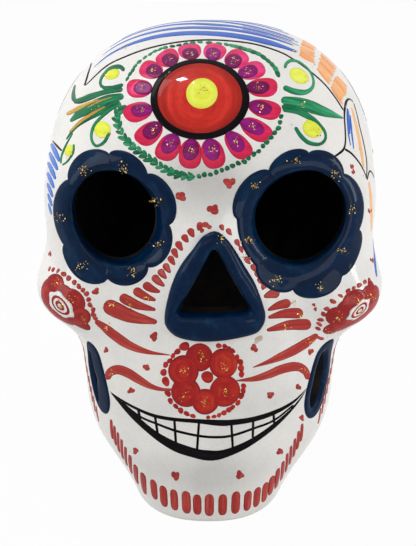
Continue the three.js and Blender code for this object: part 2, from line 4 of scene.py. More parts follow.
import bpy
import numpy as np
from mathutils import Matrix, Vector

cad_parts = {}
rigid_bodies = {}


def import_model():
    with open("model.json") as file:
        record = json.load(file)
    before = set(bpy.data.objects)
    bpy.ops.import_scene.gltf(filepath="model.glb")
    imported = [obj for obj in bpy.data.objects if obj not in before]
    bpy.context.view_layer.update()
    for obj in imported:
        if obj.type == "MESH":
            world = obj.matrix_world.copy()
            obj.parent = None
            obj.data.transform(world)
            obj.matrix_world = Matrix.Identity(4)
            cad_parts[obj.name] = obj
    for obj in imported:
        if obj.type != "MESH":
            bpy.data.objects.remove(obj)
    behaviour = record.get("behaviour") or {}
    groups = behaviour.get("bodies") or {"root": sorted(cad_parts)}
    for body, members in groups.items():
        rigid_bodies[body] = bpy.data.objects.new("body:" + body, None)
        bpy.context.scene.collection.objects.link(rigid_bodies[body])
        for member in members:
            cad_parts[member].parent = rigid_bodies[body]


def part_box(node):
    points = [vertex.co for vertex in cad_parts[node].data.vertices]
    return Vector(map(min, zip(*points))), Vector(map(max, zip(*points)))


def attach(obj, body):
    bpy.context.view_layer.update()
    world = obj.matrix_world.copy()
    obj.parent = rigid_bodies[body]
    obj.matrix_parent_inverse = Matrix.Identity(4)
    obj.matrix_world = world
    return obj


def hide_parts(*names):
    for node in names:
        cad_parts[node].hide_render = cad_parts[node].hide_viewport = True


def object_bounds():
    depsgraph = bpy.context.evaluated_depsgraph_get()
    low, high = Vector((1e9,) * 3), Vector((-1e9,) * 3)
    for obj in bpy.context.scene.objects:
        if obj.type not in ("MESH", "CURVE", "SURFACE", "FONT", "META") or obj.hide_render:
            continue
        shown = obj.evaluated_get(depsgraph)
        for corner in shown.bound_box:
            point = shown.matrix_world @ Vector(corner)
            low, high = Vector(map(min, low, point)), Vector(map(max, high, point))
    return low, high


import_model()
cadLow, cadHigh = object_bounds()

# The head's form in millimetres, face towards -Y: centre, half sizes, squareness and blend
# of each mass. A mass off the middle is mirrored to both sides.
headForm = {
    "masses": (
        ((0, 15.0, 112.5), (65, 77, 61), 2.35, 1),              # cranium
        ((0, -22.01, 110.5), (60, 41, 38), 2.2, 12),            # brow
        ((0, -34.0, 70.49), (44, 33, 36), 2.2, 18),             # upper jaw
        ((0, -22.01, 45.49), (48.5, 43, 47), 2.3, 14),          # lower jaw
        ((0, -38.01, 8.5), (26.5, 29, 42), 2.3, 16),            # chin
        ((0, 39.99, 28.51), (42, 40, 60), 2.3, 22),             # nape
        ((47.5, -26.0, 82.0), (18.5, 28, 14), 2.0, 13),         # cheekbones
        ((0, -58.0, 96.5), (15, 13, 25), 2.0, 12),              # nasal ridge
    ),
    "eyeDish": ((33.02, -80.0, 117.01), (27, 22.5, 30), 2.0, 8),
    "shellCentre": (0.0, -4.0, 83.97),
    "wall": 6.0,
    "seamEdge": 7.858,      # back edge of the face casting in this frame
}
rowShift = np.array([0, headForm["seamEdge"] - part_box("face_casting")[1].y * 1000, 0])
shellCentre = np.array(headForm["shellCentre"])

# The photograph's camera, in the head's frame
photoCamera = {
    "azimuth": 1.2,
    "elevation": 20.0,
    "distance": 520.0,
    "target": (-0.8, -10.0, 79.7),
    "focal": 1308.0,        # in pixels of the 416 x 546 frame
    "frame": (416, 546),
}


def toRow(points):      # millimetres of the head's frame to metres of the part's frame
    return (np.asarray(points) - rowShift) * 0.001


def unit(v):        # vectors made unit length
    return v / np.linalg.norm(v, axis=-1, keepdims=True)


def fullTurn(count):        # angles evenly round a circle
    return np.arange(count) / count * 2 * math.pi


# Distance to one mass: the power sum of its scaled coordinates less one, over its own slope
def massDistance(p, mass):
    centre, half, square, _ = mass
    off = p - np.array(centre)
    if centre[0]:
        off[..., 0] = np.abs(p[..., 0]) - centre[0]
    q = np.abs(off) / np.array(half) + 1e-9
    steep = q ** (square - 1)
    k = (steep * q).sum(-1) ** (1 / square)
    slope = np.sqrt(((steep / np.array(half)) ** 2).sum(-1))
    return (k - 1) * k ** (square - 1) / slope


# The smaller of two distances, with a parabola of the given width where they meet
def softMin(a, b, width):
    h = np.clip(0.5 + 0.5 * (b - a) / width, 0, 1)
    return b + (a - b) * h - width * h * (1 - h)


def headField(p):       # soft union of the masses, less the eye dishes
    body = massDistance(p, headForm["masses"][0])
    for mass in headForm["masses"][1:]:
        body = softMin(body, massDistance(p, mass), mass[3])
    dish = headForm["eyeDish"]
    return -softMin(-body, massDistance(p, dish), dish[3])


def headNormal(p, step=0.25):       # central differences of the field, made unit length
    return unit(np.stack([headField(p + s) - headField(p - s) for s in np.eye(3) * step], -1))


def settle(p, rounds=4):        # steps along the normal by the field's value, onto the clay
    for _ in range(rounds):
        p = p - headNormal(p) * headField(p)[..., None]
    return p


# Sphere tracing: each ray advances by the field's value until that is nought. A ray that
# misses keeps its nearest approach and settles onto the clay from there.
def castIn(start, ray):
    start = np.broadcast_to(start, ray.shape)
    t = np.zeros(len(ray))
    best, bestAt = np.full(len(ray), 1e9), np.zeros(len(ray))
    live = np.arange(len(ray))
    for _ in range(110):
        d = headField(start[live] + ray[live] * t[live, None])
        closer = d < best[live]
        best[live[closer]], bestAt[live[closer]] = d[closer], t[live[closer]]
        moving = (d > 2e-3) & (t[live] < 460)
        live = live[moving]
        if not len(live):
            break
        t[live] += np.maximum(0.85 * d[moving], 0.02)
    return settle(start + ray * bestAt[:, None], 3)


# Distance along a direction from the shell's centre at which the field reaches a level
def reachOut(direction, level):
    near, far = np.zeros(len(direction)), np.full(len(direction), 220.0)
    for _ in range(30):
        middle = (near + far) / 2
        inside = headField(shellCentre + direction * middle[:, None]) < level
        near, far = np.where(inside, middle, near), np.where(inside, far, middle)
    return shellCentre + direction * near[:, None]


def cameraBasis():      # position, right, up and forward axes of the photograph's camera
    az, el = math.radians(photoCamera["azimuth"]), math.radians(photoCamera["elevation"])
    back = np.array([math.sin(az) * math.cos(el), -math.cos(az) * math.cos(el), math.sin(el)])
    right = np.array([math.cos(az), math.sin(az), 0])
    position = np.array(photoCamera["target"]) + back * photoCamera["distance"]
    return position, right, np.cross(right, -back), -back


# The clay under a pixel: a ray through the pinhole, cast onto the head
def underPixel(px):
    px = np.atleast_2d(np.asarray(px, float))
    position, right, up, forward = cameraBasis()
    x, y = ((px - np.array(photoCamera["frame"]) / 2) / photoCamera["focal"]).T
    ray = unit(forward + x[:, None] * right - y[:, None] * up)
    return castIn(position + ray * 400, ray)


# The clay along a direction from the shell's centre: turn from the face, then tilt upwards
def atTurn(turnTilt):
    a = np.radians(np.atleast_2d(np.asarray(turnTilt, float)))
    direction = np.stack([np.sin(a[:, 0]) * np.cos(a[:, 1]),
                          -np.cos(a[:, 0]) * np.cos(a[:, 1]), np.sin(a[:, 1])], 1)
    return reachOut(direction, 0)


print("head form ready, CAD box", [round(v, 4) for v in (*cadLow, *cadHigh)])


# Finishes: each is a dictionary of what a user would change
def wire(tree, node, inputs):       # gives a node's inputs, by name or number, a value or a link
    for key, value in inputs.items():
        if isinstance(value, bpy.types.NodeSocket):
            tree.links.new(value, node.inputs[key])
        else:
            node.inputs[key].default_value = value
    return node


def addNode(tree, kind, inputs=None, **settings):       # a node with its settings and its inputs
    made = tree.nodes.new(kind)
    for key, value in settings.items():
        setattr(made, key, value)
    return wire(tree, made, inputs or {})


def multiplied(tree, a, b, share=1.0):      # one colour times a share of another
    return addNode(tree, "ShaderNodeMix", {0: share, 6: a, 7: b}, data_type="RGBA",
                   blend_type="MULTIPLY").outputs[2]


def rampOf(tree, source, *stops):       # a colour ramp with its stops as (place, colour or grey)
    made = addNode(tree, "ShaderNodeValToRGB", {0: source})
    ramp = made.color_ramp
    while len(ramp.elements) < len(stops):
        ramp.elements.new(1.0)
    for element, (place, colour) in zip(ramp.elements, stops):
        element.position, element.color = place, (*np.broadcast_to(np.array(colour, float), 3), 1)
    return made.outputs[0]


lacquer = {     # the clear coat over everything
    "Coat Weight": 0.25, "Coat Roughness": 0.04, "Coat IOR": 1.4, "Specular IOR Level": 0.02,
}


def newFinish(name, sockets):       # a material with these values on its shader's sockets
    made = bpy.data.materials.new(name)
    made.use_nodes = True
    tree = made.node_tree
    return made, tree, wire(tree, tree.nodes["Principled BSDF"], sockets)


seedSpread = 37.0       # how far apart two strokes' streaks are read from the noise


# Brush enamel: streaks of noise drawn out along the brush, darker where the paint pools at
# the stroke's edge, thinner and lighter in the middle, and a shade of its own to each stroke
def brushEnamel(name, look):
    made, tree, shader = newFinish(name, {**lacquer, "Roughness": 0.35,
                                          "Coat Weight": look.get("coat", lacquer["Coat Weight"])})
    uv = addNode(tree, "ShaderNodeUVMap", uv_map="brush")
    seed = addNode(tree, "ShaderNodeAttribute", attribute_name="seed").outputs["Fac"]
    edge = addNode(tree, "ShaderNodeAttribute", attribute_name="edge").outputs["Fac"]
    stretch = addNode(tree, "ShaderNodeMapping",
                      {"Vector": uv.outputs[0], "Scale": (look["along"], look["across"], 1)})
    shift = addNode(tree, "ShaderNodeMath", {0: seed, 1: seedSpread}, operation="MULTIPLY")
    streak = addNode(tree, "ShaderNodeTexNoise",
                     {"Vector": stretch.outputs[0], "W": shift.outputs[0], "Scale": 1.0, "Detail": 5.0,
                      "Roughness": 0.62}, noise_dimensions="4D").outputs["Fac"]
    spread = addNode(tree, "ShaderNodeMath", {0: seed, 1: look["shade"], 2: -0.5 * look["shade"]},
                     operation="MULTIPLY_ADD")
    total = addNode(tree, "ShaderNodeMath", {0: streak, 1: spread.outputs[0]}, operation="ADD")
    body = rampOf(tree, total.outputs[0], (0.30, look["deep"]), (0.52, look["main"]), (0.74, look["light"]))
    pool = rampOf(tree, edge, (0.0, 1), (look.get("poolStart", 0.62), 1), (0.93, look["pool"]),
                  (1.0, look["pool"]))
    bump = addNode(tree, "ShaderNodeBump", {"Strength": 0.25, "Distance": 0.0001, "Height": streak})
    wire(tree, shader, {"Base Color": multiplied(tree, body, pool), "Normal": bump.outputs[0]})
    return made


# Glazed clay: a pale body mottled by slow noise, faint grey wear by a finer one, a few dark specks where a
# cell pattern's distance is small, and patches of painted shade that grey the clay towards their middles
def clayGlaze(look):
    made, tree, shader = newFinish("glazedClay", {**lacquer, "Roughness": look["roughness"],
                                                  "Coat Weight": look["coat"]})
    place = addNode(tree, "ShaderNodeTexCoord").outputs["Object"]
    slow, fine = (addNode(tree, "ShaderNodeTexNoise",
                          {"Vector": place, "Scale": look[scale], "Detail": detail}).outputs["Fac"]
                  for scale, detail in (("mottleScale", 6.0), ("grainScale", 3.0)))
    cells = addNode(tree, "ShaderNodeTexVoronoi", {"Vector": place, "Scale": look["speckScale"]})
    body = rampOf(tree, slow, (0.32, look["shade"]), (0.5, look["body"]), (0.68, look["warm"]))
    colour = multiplied(tree, body, rampOf(tree, fine, (0.3, 0.955), (0.6, 1)))
    # painted shade: each patch greys the clay towards its middle
    for pixel, reach, grey in look["rubs"]:
        middle = toRow(underPixel(pixel))[0]
        off = addNode(tree, "ShaderNodeVectorMath", {0: place, 1: middle}, operation="SUBTRACT")
        scaled = addNode(tree, "ShaderNodeVectorMath", {0: off.outputs[0], 1: reach}, operation="DIVIDE")
        far = addNode(tree, "ShaderNodeVectorMath", {0: scaled.outputs[0]}, operation="LENGTH")
        colour = multiplied(tree, colour, rampOf(tree, far.outputs["Value"], (0.25, grey), (1.0, 1)))
    speck = rampOf(tree, cells.outputs["Distance"],
                   (0.0, (0.45, 0.42, 0.38)), (0.045, (0.8, 0.78, 0.74)), (0.075, 1))
    bump = addNode(tree, "ShaderNodeBump", {"Strength": 0.35, "Distance": 0.0002, "Height": slow})
    wire(tree, shader, {"Base Color": multiplied(tree, colour, speck, 0.55), "Normal": bump.outputs[0]})
    return made


clayLook = {
    "body": (0.80, 0.785, 0.755), "shade": (0.745, 0.73, 0.70), "warm": (0.83, 0.805, 0.765),
    "mottleScale": 55.0, "grainScale": 900.0, "speckScale": 95.0, "roughness": 0.32, "coat": 0.5,
    # painted shade between the eyes and on the chin: middle in pixels, reach in metres along each axis, grey
    # at the middle
    "rubs": (((206, 184), (0.021, 0.030, 0.015), 0.70), ((206, 477), (0.034, 0.030, 0.012), 0.82)),
}
glazedClay = clayGlaze(clayLook)

# Inside of the shell: painted shade, a near-black for the shade in the hollow, lighter in places by noise
interiorShadeLook = {"deep": (0.006, 0.005, 0.005), "thin": (0.02, 0.016, 0.014), "scale": 120.0}
innerWash, interiorShadeTree, interiorShadeShader = newFinish("innerWash", {"Roughness": 0.85, "Specular IOR Level": 0.1})
interiorShadePlace = addNode(interiorShadeTree, "ShaderNodeTexCoord").outputs["Object"]
interiorShadeNoise = addNode(interiorShadeTree, "ShaderNodeTexNoise", {"Vector": interiorShadePlace, "Scale": interiorShadeLook["scale"]})
wire(interiorShadeTree, interiorShadeShader, {"Base Color": rampOf(interiorShadeTree, interiorShadeNoise.outputs["Fac"], (0.35, interiorShadeLook["deep"]),
                                                 (0.75, interiorShadeLook["thin"]))})

enamelLooks = {
    "navyEnamel": {"deep": (0.0004, 0.007, 0.028), "main": (0.0008, 0.014, 0.047),
                   "light": (0.004, 0.034, 0.085), "pool": 0.8, "along": 0.16, "across": 0.34,
                   "shade": 0.1, "poolStart": 0.9, "coat": 0.16},
    "redEnamel": {"deep": (0.27, 0.011, 0.011), "main": (0.43, 0.019, 0.017),
                  "light": (0.60, 0.050, 0.022), "pool": 0.78, "along": 0.16, "across": 0.5,
                  "shade": 0.24, "poolStart": 0.8},
    "flowerRed": {"deep": (0.23, 0.018, 0.022), "main": (0.34, 0.022, 0.022),
                  "light": (0.48, 0.05, 0.035), "pool": 0.93, "along": 0.16, "across": 0.4,
                  "shade": 0.16, "poolStart": 0.85},
    "roseEnamel": {"deep": (0.32, 0.026, 0.024), "main": (0.42, 0.043, 0.036),
                   "light": (0.55, 0.10, 0.075), "pool": 0.78, "along": 0.10, "across": 1.3,
                   "shade": 0.22},
    "discEnamel": {"deep": (0.38, 0.018, 0.012), "main": (0.58, 0.026, 0.017),
                   "light": (0.70, 0.055, 0.026), "pool": 0.62, "along": 0.12, "across": 0.55,
                   "shade": 0.14, "poolStart": 0.72},
    "pinkEnamel": {"deep": (0.60, 0.016, 0.055), "main": (0.73, 0.022, 0.10),
                   "light": (0.84, 0.055, 0.24), "pool": 0.84, "along": 0.16, "across": 0.6,
                   "shade": 0.34},
    "purpleEnamel": {"deep": (0.13, 0.004, 0.055), "main": (0.22, 0.006, 0.12),
                     "light": (0.34, 0.012, 0.25), "pool": 0.75, "along": 0.2, "across": 0.7,
                     "shade": 0.28},
    "yellowEnamel": {"deep": (0.70, 0.72, 0.045), "main": (0.79, 0.85, 0.085),
                     "light": (0.84, 0.90, 0.16), "pool": 0.9, "along": 0.2, "across": 0.5,
                     "shade": 0.16},
    "greenEnamel": {"deep": (0.005, 0.085, 0.036), "main": (0.012, 0.20, 0.080),
                    "light": (0.045, 0.40, 0.18), "pool": 0.7, "along": 0.10, "across": 1.2,
                    "shade": 0.3},
    "blueEnamel": {"deep": (0.015, 0.075, 0.42), "main": (0.030, 0.130, 0.56),
                   "light": (0.13, 0.28, 0.70), "pool": 0.88, "along": 0.06, "across": 1.5,
                   "shade": 0.24},
    "orangeEnamel": {"deep": (0.86, 0.27, 0.06), "main": (0.90, 0.38, 0.12),
                     "light": (0.88, 0.55, 0.27), "pool": 0.97, "along": 0.08, "across": 1.8,
                     "shade": 0.34},
    "chipEnamel": {"deep": (0.36, 0.28, 0.20), "main": (0.52, 0.43, 0.33),
                   "light": (0.62, 0.55, 0.46), "pool": 0.9, "along": 0.6, "across": 0.8, "shade": 0.3},
    "ochreEnamel": {"deep": (0.45, 0.22, 0.03), "main": (0.60, 0.33, 0.05),
                    "light": (0.72, 0.48, 0.12), "pool": 0.85, "along": 0.1, "across": 1.2,
                    "shade": 0.2},
    "blackEnamel": {"deep": (0.0015, 0.001, 0.0015), "main": (0.003, 0.002, 0.003),
                    "light": (0.009, 0.007, 0.009), "pool": 0.8, "along": 0.1, "across": 1.1,
                    "shade": 0.12, "coat": 0.12},
}
enamels = {name: brushEnamel(name, look) for name, look in enamelLooks.items()}

# Gold flakes: metal whose tint wanders from flake to flake
flakeLook = {"dark": (0.08, 0.035, 0.005), "main": (0.66, 0.40, 0.06), "pale": (0.92, 0.74, 0.28)}
goldFlake, flakeTree, flakeShader = newFinish("goldFlake", {"Roughness": 0.28, "Metallic": 0.75})
flakeSeed = addNode(flakeTree, "ShaderNodeAttribute", attribute_name="seed").outputs["Fac"]
wire(flakeTree, flakeShader, {"Base Color": rampOf(flakeTree, flakeSeed, (0.1, flakeLook["dark"]),
                                                   (0.5, flakeLook["main"]), (1.0, flakeLook["pale"]))})
enamels.update(goldFlake=goldFlake, glazedClay=glazedClay, innerWash=innerWash)
print("finishes ready:", len(enamels))


# Meshes
sidesOnly = np.array((1.0, 1.0, 0.0))       # the rim stays on the table


def placed(name, data):     # a new object in the scene
    made = bpy.data.objects.new(name, data)
    bpy.context.scene.collection.objects.link(made)
    return made


# A mesh from whole arrays: corners, face starts, UV by corner and values by point. No point leaves
# the CAD's box, less an inset in metres.
def meshPiece(name, points, quads, tris, finishes, finishIndex=None, uv=None, values=None, inset=0.0):
    mesh = bpy.data.meshes.new(name)
    mesh.vertices.add(len(points))
    co = np.clip(toRow(points), np.array(cadLow) + inset * sidesOnly, np.array(cadHigh) - inset)
    mesh.vertices.foreach_set("co", co.astype(np.float32).ravel())
    corners = np.concatenate([quads.ravel(), tris.ravel()]).astype(np.int32)
    starts = np.concatenate([np.arange(len(quads)) * 4,
                             len(quads) * 4 + np.arange(len(tris)) * 3]).astype(np.int32)
    mesh.loops.add(len(corners))
    mesh.loops.foreach_set("vertex_index", corners)
    mesh.polygons.add(len(starts))
    mesh.polygons.foreach_set("loop_start", starts)
    for finish in finishes:
        mesh.materials.append(finish)
    if finishIndex is not None:
        mesh.polygons.foreach_set("material_index", finishIndex.astype(np.int32))
    if uv is not None:
        layer = mesh.uv_layers.new(name="brush")
        layer.data.foreach_set("uv", uv[corners].astype(np.float32).ravel())
    for key, value in (values or {}).items():
        mesh.attributes.new(key, "FLOAT", "POINT").data.foreach_set("value", value.astype(np.float32))
    mesh.update(calc_edges=True)
    mesh.shade_smooth()
    return placed(name, mesh)


def setPiece(piece, nodes):       # every piece rides on the one body
    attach(piece, "root")
    if nodes:
        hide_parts(*nodes)


def gridQuads(rows, columns, wrap):     # quads of a grid, closed round its columns if it wraps
    i = np.arange(rows - 1)[:, None] * columns
    j = np.arange(columns if wrap else columns - 1)[None, :]
    k = (j + 1) % columns
    return np.stack([i + j, i + k, i + columns + k, i + columns + j], -1).reshape(-1, 4)


def fan(middle, a, b):      # triangles from one point to pairs of points
    return np.stack([np.full(len(a), middle), a, b], 1)


# Clay body: the head's skin from crown to rim, a rounded rim and the inner wall, as one
# closed grid of meridians
clayBody = {
    "around": 320, "outerRows": 150, "innerRows": 40, "rimRows": 4,
    "rimRound": 1.7,        # mm, rounding of the open rim
    "underside": ((-50.05, 0.0), (-6.16, 0.0), (-0.77, 49.97), (10.01, 49.97),
                  (20.79, 49.97), (34.03, 19.95), (34.03, 0.0)),
}


def cubicCurve(a, b, c, d, t):      # Bernstein sum of four points
    t = t[:, None]
    return (np.array(a) * (1 - t) ** 3 + 3 * np.array(b) * t * (1 - t) ** 2
            + 3 * np.array(c) * t * t * (1 - t) + np.array(d) * t ** 3)


undersideLine = np.vstack([
    cubicCurve(*clayBody["underside"][:4], np.linspace(0, 1, 60)),
    cubicCurve(*clayBody["underside"][3:], np.linspace(0, 1, 60))[1:]])


# Height of a point over the underside cut, as a distance in the side view: the nearest point
# of the cut's line, signed by whether the point lies above it
def overCut(p):
    y, z = p[:, 1], p[:, 2]
    a, b = undersideLine[:-1], undersideLine[1:]
    ab = b - a
    off = np.stack([y, z], 1)[:, None] - a[None]
    t = np.clip((off * ab).sum(-1) / (ab * ab).sum(-1), 0, 1)
    gap = np.linalg.norm(off - t[..., None] * ab, axis=-1).min(1)
    level = np.interp(y, undersideLine[:, 0], undersideLine[:, 1], left=-1e3, right=-1e3)
    within = (y > undersideLine[0, 0]) & (y < undersideLine[-1, 0]) & (z < level)
    return np.minimum(np.where(within, -gap, gap), z)


def meridian(turn, drop):       # unit direction at a turn round the head and a drop from the crown
    return np.stack([np.sin(drop) * np.cos(turn), np.sin(drop) * np.sin(turn), np.cos(drop)], -1)


# Drop from the crown at which a meridian of the field's level comes within a distance of the cut
def rimDrop(turn, level, distance):
    low, high = np.full(len(turn), 0.6), np.full(len(turn), math.pi - 0.02)
    for _ in range(22):
        middle = (low + high) / 2
        above = overCut(reachOut(meridian(turn, middle), level)) > distance
        low, high = np.where(above, middle, low), np.where(above, high, middle)
    return low


turns = fullTurn(clayBody["around"])
wall, rimRound = headForm["wall"], clayBody["rimRound"]
outerEnd = rimDrop(turns, 0, rimRound)
innerEnd = rimDrop(turns, -wall, rimRound)
rimOut = reachOut(meridian(turns, rimDrop(turns, 0, 0)), 0)
rimIn = reachOut(meridian(turns, rimDrop(turns, -wall, 0)), -wall)
flatOut = rimOut + (rimIn - rimOut) * (rimRound / wall)
flatIn = rimIn + (rimOut - rimIn) * (rimRound / wall)


def skinRows(ends, level, count):       # rows of the skin from just off the crown to the rim
    share = (np.arange(count) + 1) / count
    drops = share[:, None] * ends[None]
    direction = meridian(np.broadcast_to(turns, drops.shape).ravel(), drops.ravel())
    return reachOut(direction, level).reshape(count, -1, 3)


def roundRows(a, corner, b, count):     # quadratic curve from a round a corner to b, ends left out
    t = (np.arange(count) + 1)[:, None, None] / (count + 1)
    return a * (1 - t) ** 2 + 2 * corner * t * (1 - t) + b * t ** 2


outerRows = skinRows(outerEnd, 0, clayBody["outerRows"])
innerRows = skinRows(innerEnd, -wall, clayBody["innerRows"])[::-1]
rows = np.concatenate([
    outerRows, roundRows(outerRows[-1], rimOut, flatOut, clayBody["rimRows"]),
    flatOut[None], flatIn[None],
    roundRows(flatIn, rimIn, innerRows[0], clayBody["rimRows"]), innerRows])
crown = reachOut(np.array([[0, 0, 1.0]]), 0)
vault = reachOut(np.array([[0, 0, 1.0]]), -wall)
bodyPoints = np.concatenate([rows.reshape(-1, 3), crown, vault])
rowCount, around = rows.shape[:2]
ringIndex = np.arange(around)
nextIndex = (ringIndex + 1) % around
lastRow = (rowCount - 1) * around
bodyQuads = gridQuads(rowCount, around, True)[:, ::-1]
bodyTris = np.concatenate([fan(rowCount * around, ringIndex, nextIndex),
                           fan(rowCount * around + 1, lastRow + nextIndex, lastRow + ringIndex)])
skullClay = meshPiece("skullClay", bodyPoints, bodyQuads, bodyTris, [glazedClay, innerWash], inset=0.00015)
print("clay body:", len(bodyPoints), "points")


# Catmull-Rom curve through the points, read off at shares of its length
def smoothPath(points, share):
    p = np.asarray(points, float)
    ends = np.vstack([2 * p[:1] - p[1:2], p, 2 * p[-1:] - p[-2:-1]])
    u = np.linspace(0, len(p) - 1, 24 * (len(p) - 1) + 1)
    i = np.minimum(u.astype(int), len(p) - 2)
    f = (u - i)[:, None]
    a, b, c, d = ends[i], ends[i + 1], ends[i + 2], ends[i + 3]
    curve = 0.5 * (2 * b + (c - a) * f + (2 * a - 5 * b + 4 * c - d) * f ** 2
                   + (3 * b - a - 3 * c + d) * f ** 3)
    run = np.concatenate([[0], np.cumsum(np.linalg.norm(np.diff(curve, axis=0), axis=1))])
    return np.stack([np.interp(share * run[-1], run, curve[:, k]) for k in range(p.shape[1])], 1), run[-1]


# Openings: what each collar is drawn round. Charts look along an axis; a place on one is
# (u, v), and the clay under it is found by casting along the axis.
upAxis = np.array([0.0, 0.0, 1.0])


def chartOf(origin, out=(0, -1, 0), right=(1, 0, 0)):
    return {"origin": np.array(origin), "out": np.array(out, float), "right": np.array(right, float)}


openings = {
    "leftEye": chartOf((-33.02, 0, 117.01)), "rightEye": chartOf((33.02, 0, 117.01)),
    "nose": chartOf((2.5, 0, 95.01)),
    "leftJaw": chartOf((0, -48.5, 51.7), (-1, 0, 0), (0, -1, 0)),
    "rightJaw": chartOf((0, -48.5, 51.7), (1, 0, 0), (0, 1, 0)),
}


def over(chart, u, v, height):      # the point over (u, v), at a height along the chart's axis
    return (chart["origin"] + np.multiply.outer(u, chart["right"]) + np.multiply.outer(v, upAxis)
            + np.multiply.outer(height, chart["out"]))


def under(chart, u, v):         # the clay under (u, v)
    start = over(chart, u, v, 130.0).reshape(-1, 3)
    return castIn(start, np.broadcast_to(-chart["out"], start.shape)).reshape(*np.shape(u), 3)


def roundBore(radius, sag):     # a circle that hangs lower by a sag
    return lambda angle: radius + sag * np.maximum(0, -np.sin(angle)) ** 2


# An ellipse about a middle that lies aside: the farther root of its equation along each angle
def ovalBore(halfWidth, halfHeight, aside):
    def radius(angle):
        a = (np.cos(angle) / halfWidth) ** 2 + (np.sin(angle) / halfHeight) ** 2
        b = aside * np.cos(angle) / halfWidth ** 2
        return (b + np.sqrt(b * b - a * ((aside / halfWidth) ** 2 - 1))) / a
    return radius


# A triangle with soft corners, point up: the power sum of its three sides' reaches, with one
# margin at the two slopes and another at the sill
def softTriangle(halfWidth, height, margin, sill, sharpness=9):
    slope = math.atan2(halfWidth, height)
    flank = 2 / 3 * height * math.sin(slope) + margin
    sides = ((0, -1, height / 3 + sill), (math.cos(slope), math.sin(slope), flank),
             (-math.cos(slope), math.sin(slope), flank))

    def radius(angle):
        total = sum(np.maximum(0, (a * np.cos(angle) + b * np.sin(angle)) / reach) ** sharpness
                    for a, b, reach in sides)
        return total ** (-1 / sharpness)
    return radius


def polar(chart, points):       # angle and distance of points about a chart's middle
    off = points - chart["origin"]
    u, v = off @ chart["right"], off @ upAxis
    return np.arctan2(v, u), np.hypot(u, v)


# A closed outline through places in pixels: the radius, by angle, of a smooth curve through them
def tracedOutline(chart, px):
    loop = underPixel([*px[-2:], *px, *px[:2]])
    angle, reach = polar(chart, smoothPath(loop, np.linspace(0, 1, 600))[0])
    return lambda asked: np.interp(asked, angle, reach, period=2 * math.pi)


# A scalloped outline from its cusps and a point on each lobe, in pixels: between two cusps the
# radius is their mean line plus a bulge that passes through the lobe's point
def scallops(chart, cusps, lobes):
    def bulge(t):
        return np.clip(1 - (2 * t - 1) ** 2, 0, 1) ** 0.62
    cuspAngle, cuspRadius = polar(chart, underPixel(cusps))
    lobeAngle, lobeRadius = polar(chart, underPixel(lobes))
    span = np.mod(cuspAngle - np.roll(cuspAngle, -1), 2 * math.pi)      # cusps run clockwise
    share = np.mod(cuspAngle - lobeAngle, 2 * math.pi) / span
    base = cuspRadius * (1 - share) + np.roll(cuspRadius, -1) * share
    height = (lobeRadius - base) / bulge(share)

    def radius(angle):
        t = np.mod(cuspAngle[:, None] - np.ravel(angle)[None], 2 * math.pi) / span[:, None]
        t = np.where(t < 1, t, np.nan)
        r = (cuspRadius[:, None] * (1 - t) + np.roll(cuspRadius, -1)[:, None] * t
             + height[:, None] * bulge(t))
        return np.nanmax(r, 0).reshape(np.shape(angle))
    return radius


# What the eyes' and the jaw windows' collars share: the flange's rise and edge, the lip, the sleeve's
# depth, and how many rows deepest in the section take the painted shade of the interior
eyeCollar = {"rise": 0.5, "edge": 0.9, "lip": 3.6, "lipDepth": 3.4, "depth": 12.0, "dark": 6}
jawCollar = {"rise": 0.5, "edge": 0.9, "lip": 0.7, "lipDepth": 1.4, "depth": 9.0, "dark": 10,
             "steps": 160, "taper": 0.0, "shift": (0.0, 0.0), "slender": 3.4}
collarLooks = {
    "leftEye": {
        **eyeCollar, "node": "left_eye_collar", "steps": 280, "bore": roundBore(16.1, 1.5), "taper": 0.9,
        "shift": (-1.1, -1.2),
        "flange": scallops(openings["leftEye"],
                           ((109, 154), (147, 174.3), (168.7, 224.8), (148, 267), (107.8, 278),
                            (64, 244.8), (68.2, 179.7)),
                           ((132, 154), (171.5, 190), (172, 245), (132, 285), (74.6, 275.4),
                            (53.3, 214), (79.7, 154.2)))},
    "rightEye": {
        **eyeCollar, "node": "right_eye_collar", "steps": 320, "bore": roundBore(16.5, 0.5), "taper": 0.1,
        "shift": (0.3, -1.6),
        "flange": scallops(openings["rightEye"],
                           ((308.7, 153), (343.6, 173.6), (359, 229.4), (341.7, 275.5), (293, 289.3),
                            (256, 267), (236.4, 218.5), (269, 170.6)),
                           ((332, 153.7), (362.8, 196.7), (358.3, 255.6), (323, 296.7), (271.8, 290.3),
                            (242.3, 246.7), (238.5, 187.7), (282, 153.7)))},
    "nose": {
        "node": "nose_collar", "steps": 240, "bore": softTriangle(12.9, 24.6, 0.1, 0.9), "rise": 2.6,
        "edge": 3.2, "lip": 2.6, "lipDepth": 3.2, "depth": 11.0, "taper": 0.4, "shift": (0.6, 0.0),
        "dark": 8,
        "flange": tracedOutline(openings["nose"],
                                ((213.2, 231.2), (202.6, 236.4), (193.6, 248.2), (181.4, 265),
                                 (172.8, 283.1), (167, 303.3), (165, 317.9), (167, 326.4), (176, 335.4),
                                 (191.3, 339.8), (210, 340.8), (233.3, 338.4), (254, 333.4),
                                 (261.6, 326.8), (265, 316.3), (262.2, 303.3), (254.4, 283.1),
                                 (244.2, 266), (235, 250.8), (227, 239.4), (220.4, 233.2)))},
    "leftJaw": {**jawCollar, "node": "left_jaw_collar", "bore": ovalBore(1.4, 9.4, -0.7),
                "flange": ovalBore(5.4, 14.8, 1.0)},
    "rightJaw": {**jawCollar, "node": "right_jaw_collar", "bore": ovalBore(3.2, 11.2, -1.0),
                 "flange": ovalBore(6.6, 16.2, -0.3)},
}
sleeveWall, seatGap = 1.6, 0.3        # mm


def ringAngles(look, steps):       # angles spread evenly round an outline that may be taller than wide
    turn = fullTurn(steps)
    return np.arctan2(look.get("slender", 1.0) * np.sin(turn), np.cos(turn))


